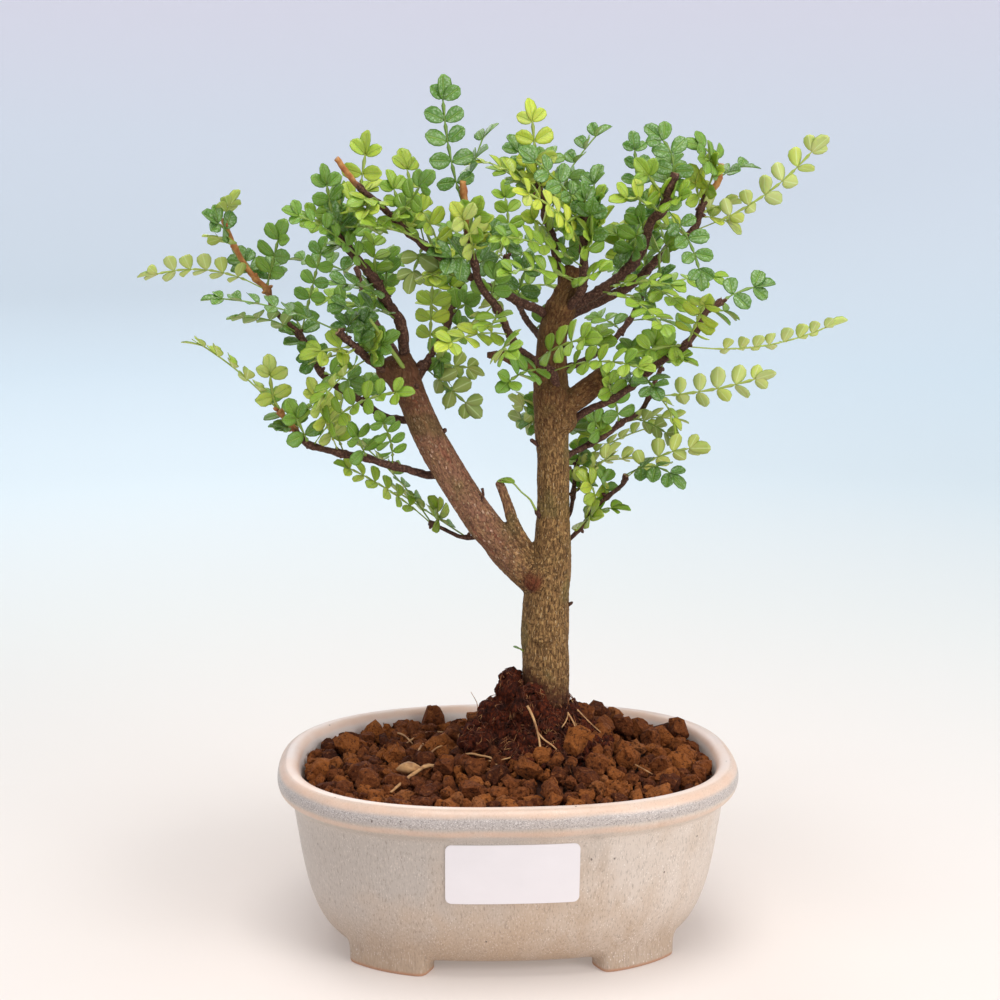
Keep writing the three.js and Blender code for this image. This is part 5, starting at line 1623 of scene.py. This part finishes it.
# %% The upper side
SCATTER = {"Subsurface_Weight": 0.2, "Subsurface_Radius": (0.4, 1.0, 0.1), "Subsurface_Scale": 0.001}
GREEN_STOPS = (0.0, 0.28, 0.5, 0.7, 0.86, 1.0)
TOP_GREENS = ("547b28", "6c8f29", "8aa62c", "a3b439", "bdc63b", "b2ba60")
UNDER_GREENS = ("8c9a58", "97a255", "a3ad54", "afb75a", "bdc45a", "babf74")
top = Paint("leaf_top")
map_spot = top.node("ShaderNodeUVMap", {"uv_map": "own"}, {})
across = abs(map_spot.part(0) - 0.5) * 2
along = map_spot.part(1)
own = top.attribute("tint")
here = top.here()
mottle = top.noise(here, 0.8, 3, 0.6)
green = top.ramp(own + (top.noise(here, 6, 2) - 0.5) * 0.14, *zip(GREEN_STOPS, TOP_GREENS))
between_edges = across.rises(0.08, 0.3) * across.rises(0.98, 0.75)
# Painted sheen: a pale bluish reflection is painted into the green of the deeper leaves.
painted_sheen = mottle.rises(0.44, 0.66) * between_edges * own.rises(0.4, 0.0)
green = top.mix(green, "b9c9a6", painted_sheen * 0.5)
side_veins = ((along * 8 - across * 1.6) * math.tau).sine().rises(0.75, 1.0)
green = top.mix(green, "a8c474", side_veins * 0.12)
green = top.mix(green, "b4c86c", across.rises(0.1, 0.02) * 0.4)
green = top.mix(green, "3f5f1c", across.rises(0.84, 1.0) * 0.5)
top_relief = mottle * 0.6 - across.rises(0.16, 0.0) * 1.2 - side_veins * 0.4
top_material = top.finish(green, 0.3 + mottle * 0.2, top_relief, 0.2, **SCATTER)

# %% The underside and the rib
below = Paint("leaf_underside")
map_spot = below.node("ShaderNodeUVMap", {"uv_map": "own"}, {})
across = abs(map_spot.part(0) - 0.5) * 2
own = below.attribute("tint")
here = below.here()
pale = below.ramp(own + (below.noise(here, 5, 2) - 0.5) * 0.14, *zip(GREEN_STOPS, UNDER_GREENS))
pale = below.mix(pale, "d3dfa2", across.rises(0.14, 0.03) * 0.5)
pale = below.mix(pale, "6f8438", across.rises(0.86, 1.0) * 0.45)
below_material = below.finish(pale, 0.6, below.noise(here, 0.6, 3), 0.12, **SCATTER)

rib = Paint("leaf_rib")
here = rib.here()
rib_tone = rib.mix("64842f", "a8b24e", rib.attribute("tint") * 0.8 + rib.noise(here, 2, 2) * 0.2)
rib_material = rib.finish(rib_tone, 0.45, rib.noise(here, 0.6, 2), 0.1, **SCATTER)

# %% [markdown]
# ## A compound leaf
#
# The rib is a quadratic curve from the twig to the leaf's tip, with a narrow green wing along each side
# that pinches in at every pair of leaflets. In the plain model some leaves lean forwards or back to clear
# their neighbours. The same leaf is found there by looking which lean puts its tip on one of the solid's
# own corners.

# %% The leaf's line
FIRST_PAIR = 0.24
LAST_PAIR = 0.84
END_LEAFLET = 0.86
END_DROOP = 0.12
LEANS = [0, 4, -4, 8, -8, 12, -12, 16, -16, 21, -21, 26, -26, 32, -32]


class LeafLine:
    """The curve of a leaf's rib, with the way that the leaf faces."""

    def __init__(self, base, tip, facing, bow):
        along = (tip - base).normalized()
        front = Vector((0, 0, 1)) if abs(along.y) > 0.93 else Vector((0, -1, 0))
        toward = (front - along * front.dot(along)).normalized()
        up = along.cross(toward)
        if up.z < 0:
            up.negate()
        turn = math.radians(facing)
        self.face = toward * math.sin(turn) + up * math.cos(turn)
        self.ends = (base, base.lerp(tip, 0.5) + up * 2 * bow, tip)
        walk = [self.spot(step / 40) for step in range(41)]
        self.length = sum((b - a).length for a, b in zip(walk, walk[1:]))

    def spot(self, share):
        start, middle, end = self.ends
        return start * (1 - share) ** 2 + middle * 2 * share * (1 - share) + end * share**2

    def axes(self, share):
        """The ways along the rib, to its right side and out of its upper side."""
        start, middle, end = self.ends
        along = ((middle - start) * (1 - share) + (end - middle) * share).normalized()
        side = along.cross(self.face).normalized()
        return along, side, side.cross(along).normalized()

    def plain_tip(self):
        """Where the plain model's last leaflet ends."""
        along, _, normal = self.axes(END_LEAFLET)
        room = self.length * (1 - END_LEAFLET)
        return self.spot(END_LEAFLET) + along * room - normal * END_DROOP * room


def placed_line(base, tip, facing, bow, corners):
    """The leaf's line, leaning as in the plain model, and how far its tip is from a corner there."""
    best = None
    for lean in LEANS:
        line = LeafLine(base, tip + Vector((0, lean, 0)), facing, bow)
        miss = np.linalg.norm(corners - np.array(line.plain_tip()), axis=1).min()
        if best is None or miss < best[1]:
            best = (line, miss)
    return best


# %% The rib and the leaflets
RIB_THICKNESS = 0.3
RIB_PINCH = 0.3
RIB_WING = 0.75
CLOSEST_PAIRS = 4.5
WIDEST_LEAFLET = 5.4
LONG_FOR_WIDE = 1.42
SHORTEST_LEAFLET = 5.3
LARGE = 1.25  # how much larger the leaflets of the tall leaf are


def add_rib(bunch, line, stations, tint):
    """A flat, winged stalk through (share, half width) stations, with a ridge above and below."""
    first = len(bunch.points)
    for share, half in stations:
        along, side, normal = line.axes(share)
        spot = line.spot(share)
        for out, up in ((-half, 0), (0, RIB_THICKNESS), (half, 0), (0, -RIB_THICKNESS)):
            bunch.points.append((spot + side * out + normal * up)[:])
    rings = len(stations)
    faces = []
    for ring in range(rings - 1):
        for corner in range(4):
            low = first + 4 * ring
            after = (corner + 1) % 4
            faces.append((low + corner, low + 4 + corner, low + 4 + after, low + after))
    last = first + 4 * (rings - 1)
    faces += [(first, first + 1, first + 2, first + 3), (last + 3, last + 2, last + 1, last)]
    bunch.faces.extend(faces)
    bunch.corners.extend([(0.5, 0.5)] * 4 * len(faces))
    bunch.slots.extend([2] * len(faces))
    bunch.tints.extend([tint] * 4 * rings)


def add_leaflet(bunch, spot, axes, hand, forward, folded, long, wide, tint, draw):
    """One leaflet on the right (1) or left (-1) of the rib, or at its end (0), forward degrees off the rib.

    The leaf may be folded like a book: its leaflets then rise by so many degrees on both sides of the rib.
    """
    along, side, normal = axes
    turn = math.radians(forward)
    rise = math.radians(folded) * abs(hand)
    out = side * hand * math.cos(rise) + normal * math.sin(rise)
    face = normal * math.cos(rise) - side * hand * math.sin(rise)
    way = (out * math.sin(turn) + along * math.cos(turn) - face * END_DROOP).normalized()
    across = way.cross(face).normalized()
    across = (across + face * draw.gauss(0, 0.2)).normalized()
    up = across.cross(way).normalized()
    way = (way + up * draw.gauss(0.05, 0.14)).normalized()
    up = across.cross(way).normalized()
    own_tint = min(1, max(0, tint + draw.gauss(0, 0.05)))
    shape = draw.choice(leaflets)
    bunch.add(shape, spot + side * hand * 0.25, (across * wide, way * long, up * long), own_tint)


def add_leaf(bunch, line, pairs, letter, draw):
    tint = TINTS[letter]
    folded = draw.gauss(24, 5) if letter == "p" else draw.gauss(16, 9)
    largest = LARGE if letter == "t" else 1
    roomy = int(line.length * (LAST_PAIR - FIRST_PAIR) / (CLOSEST_PAIRS * largest))
    pairs = max(2, min(pairs, roomy))
    step = (LAST_PAIR - FIRST_PAIR) / (pairs - 0.5)
    wide = min(WIDEST_LEAFLET * largest, 0.86 * line.length * step)
    long = max(LONG_FOR_WIDE * wide, SHORTEST_LEAFLET)
    end_long = max(line.length * (1 - END_LEAFLET), 1.12 * long)
    end_share = 1 - end_long / line.length
    joints = [FIRST_PAIR + (end_share - FIRST_PAIR) * pair / (pairs - 1) for pair in range(pairs)]
    stations = [(0.0, 0.5), (0.05, RIB_PINCH), (FIRST_PAIR * 0.7, RIB_PINCH)]
    for pair, joint in enumerate(joints):
        stations += [(joint - 0.3 * step, RIB_WING), (joint - 0.015, RIB_PINCH), (joint + 0.015, RIB_PINCH)]
        size = 0.84 + 0.2 * math.sin(math.pi * (pair + 0.8) / pairs)
        for hand in (-1, 1):
            forward = 76 - 20 * pair / (pairs - 1) + draw.gauss(0, 6)
            grown = size * draw.uniform(0.9, 1.08)
            spot = line.spot(joint + draw.uniform(-0.06, 0.06) * step)
            sizes = (long * grown, wide * grown)
            add_leaflet(bunch, spot, line.axes(joint), hand, forward, folded, *sizes, tint, draw)
    stations = sorted(station for station in stations if station[0] < end_share)
    stations.append((end_share, RIB_PINCH))
    add_rib(bunch, line, stations, tint)
    end_wide = min(wide, 0.6 * end_long)
    axes = line.axes(end_share)
    askew = draw.gauss(0, 5)
    add_leaflet(bunch, line.spot(end_share), axes, 0, askew, 0, end_long, end_wide, tint, draw)


# %% [markdown]
# ## Small leaves between
#
# The solids carry the leaves that shape the crown. A real twig also holds small young leaves at the same
# joints, which fill the crown without changing its outline. They are drawn at random, and each stays
# within the box that its branch's solid fills.

# %% All the leaves
SMALL_LEAVES = 4  # on each twig, but on the bare ones that stand free
BARE_TWIGS = ("right_low", "right_behind", "right_thin", "left_low", "left_hanging")
worst = 0
for name, branch in BRANCHES.items():
    draw = random.Random("leaves of " + name)
    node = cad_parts[f"leafy_{name}"]
    corners = np.array([((vertex.co - POT_MIDDLE) / MM)[:] for vertex in node.data.vertices])
    twig_line = SmoothLine(branch["line"])
    foliage = Bunch()
    for share, x, y, z, pairs, facing, bow, letter in branch["leaves"]:
        line, miss = placed_line(twig_line.at(share), Vector((x, y, z)), facing, bow, corners)
        worst = max(worst, miss)
        add_leaf(foliage, line, pairs, letter, draw)
    lowest = corners.min(axis=0) + 1
    highest = corners.max(axis=0) - 1
    grown = 0
    while grown < (1 if name in BARE_TWIGS else SMALL_LEAVES):
        base = twig_line.at(draw.uniform(0.3, 1))
        way = Vector((draw.gauss(0, 1), draw.gauss(0, 1), draw.gauss(0.5, 0.8))).normalized()
        tip = base + way * draw.uniform(13, 24)
        if (lowest < np.array(tip)).all() and (np.array(tip) < highest).all():
            line = LeafLine(base, tip, draw.uniform(20, 80), draw.uniform(0, 3))
            pairs = draw.choice((3, 4, 5))
            add_leaf(foliage, line, pairs, draw.choice(branch["leaves"])[-1], draw)
            grown += 1
    leaves = foliage.mesh_piece(top_material, below_material, rib_material)
    settle(leaves, f"leaves_{name}", "leaf_green", f"leafy_{name}")
print(f"the leaf that lies farthest from its plain one misses by {worst:.2f} mm")

# %% [markdown]
# ## Stray shoots
#
# Three small green things break the tidy order, as they do on every real tree: a thin shoot that arches
# from the trunk to the top of the little stub and ends in one leaf, the bare stalk of a lost leaf at the
# end of the limb, and a first sprout low on the trunk.

# %% Stray shoots
SHOOTS = [
    # the points that a shoot runs through, and its radii from start to end
    (
        [
            (12, -3, 160.5), (10, -3.4, 163), (8.2, -3.6, 166.4), (4.8, -3.8, 169.4), (1.5, -4, 173),
            (-2, -4, 174),
        ],
        (0.6, 0.34, 0.4),
    ),
    ([(-35, -9, 211), (-38.4, -13.6, 216.8), (-44, -17.6, 225.4), (-49.7, -21.5, 234.3)], (0.9, 0.8, 0.5)),
    ([(6.6, -2, 108), (4.4, -2.4, 109.6)], (0.5, 0.3)),
]
shoots = Bunch()
for rows, radii in SHOOTS:
    stem = tubes([evenly(rows, radii, 12)], 1)
    shoots.add(shape_of(stem, slot=2), (0, 0, 0), Matrix.Identity(3), 0.55)
LONE_LEAFLETS = [
    # place, way, length, width, tint
    ((-4.2, -4, 173.4), (1, 0.05, 0.1), 7.0, 3.4, 0.5),
    ((4.6, -2.4, 109.4), (-0.9, -0.3, 0.5), 3.0, 2.2, 0.1),
]
for place, way, long, wide, tint in LONE_LEAFLETS:
    way = Vector(way).normalized()
    across = way.cross(Vector((0, -0.35, 1))).normalized()
    up = across.cross(way)
    shoots.add(leaflets[1], place, (across * wide, way * long, up * long), tint)
settle(shoots.mesh_piece(top_material, below_material, rib_material), "stray_shoots", "leaf_green", "trunk")

# %% [markdown]
# ## The two boxes
#
# The finer pieces must fill the same space as the plain solids. Both boxes are printed side by side.

# %% Sizes
for name, (low, high) in (("cad", solid_bounds), ("visual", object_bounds())):
    print(name, [round((b - a) / MM, 1) for a, b in zip(low, high)])
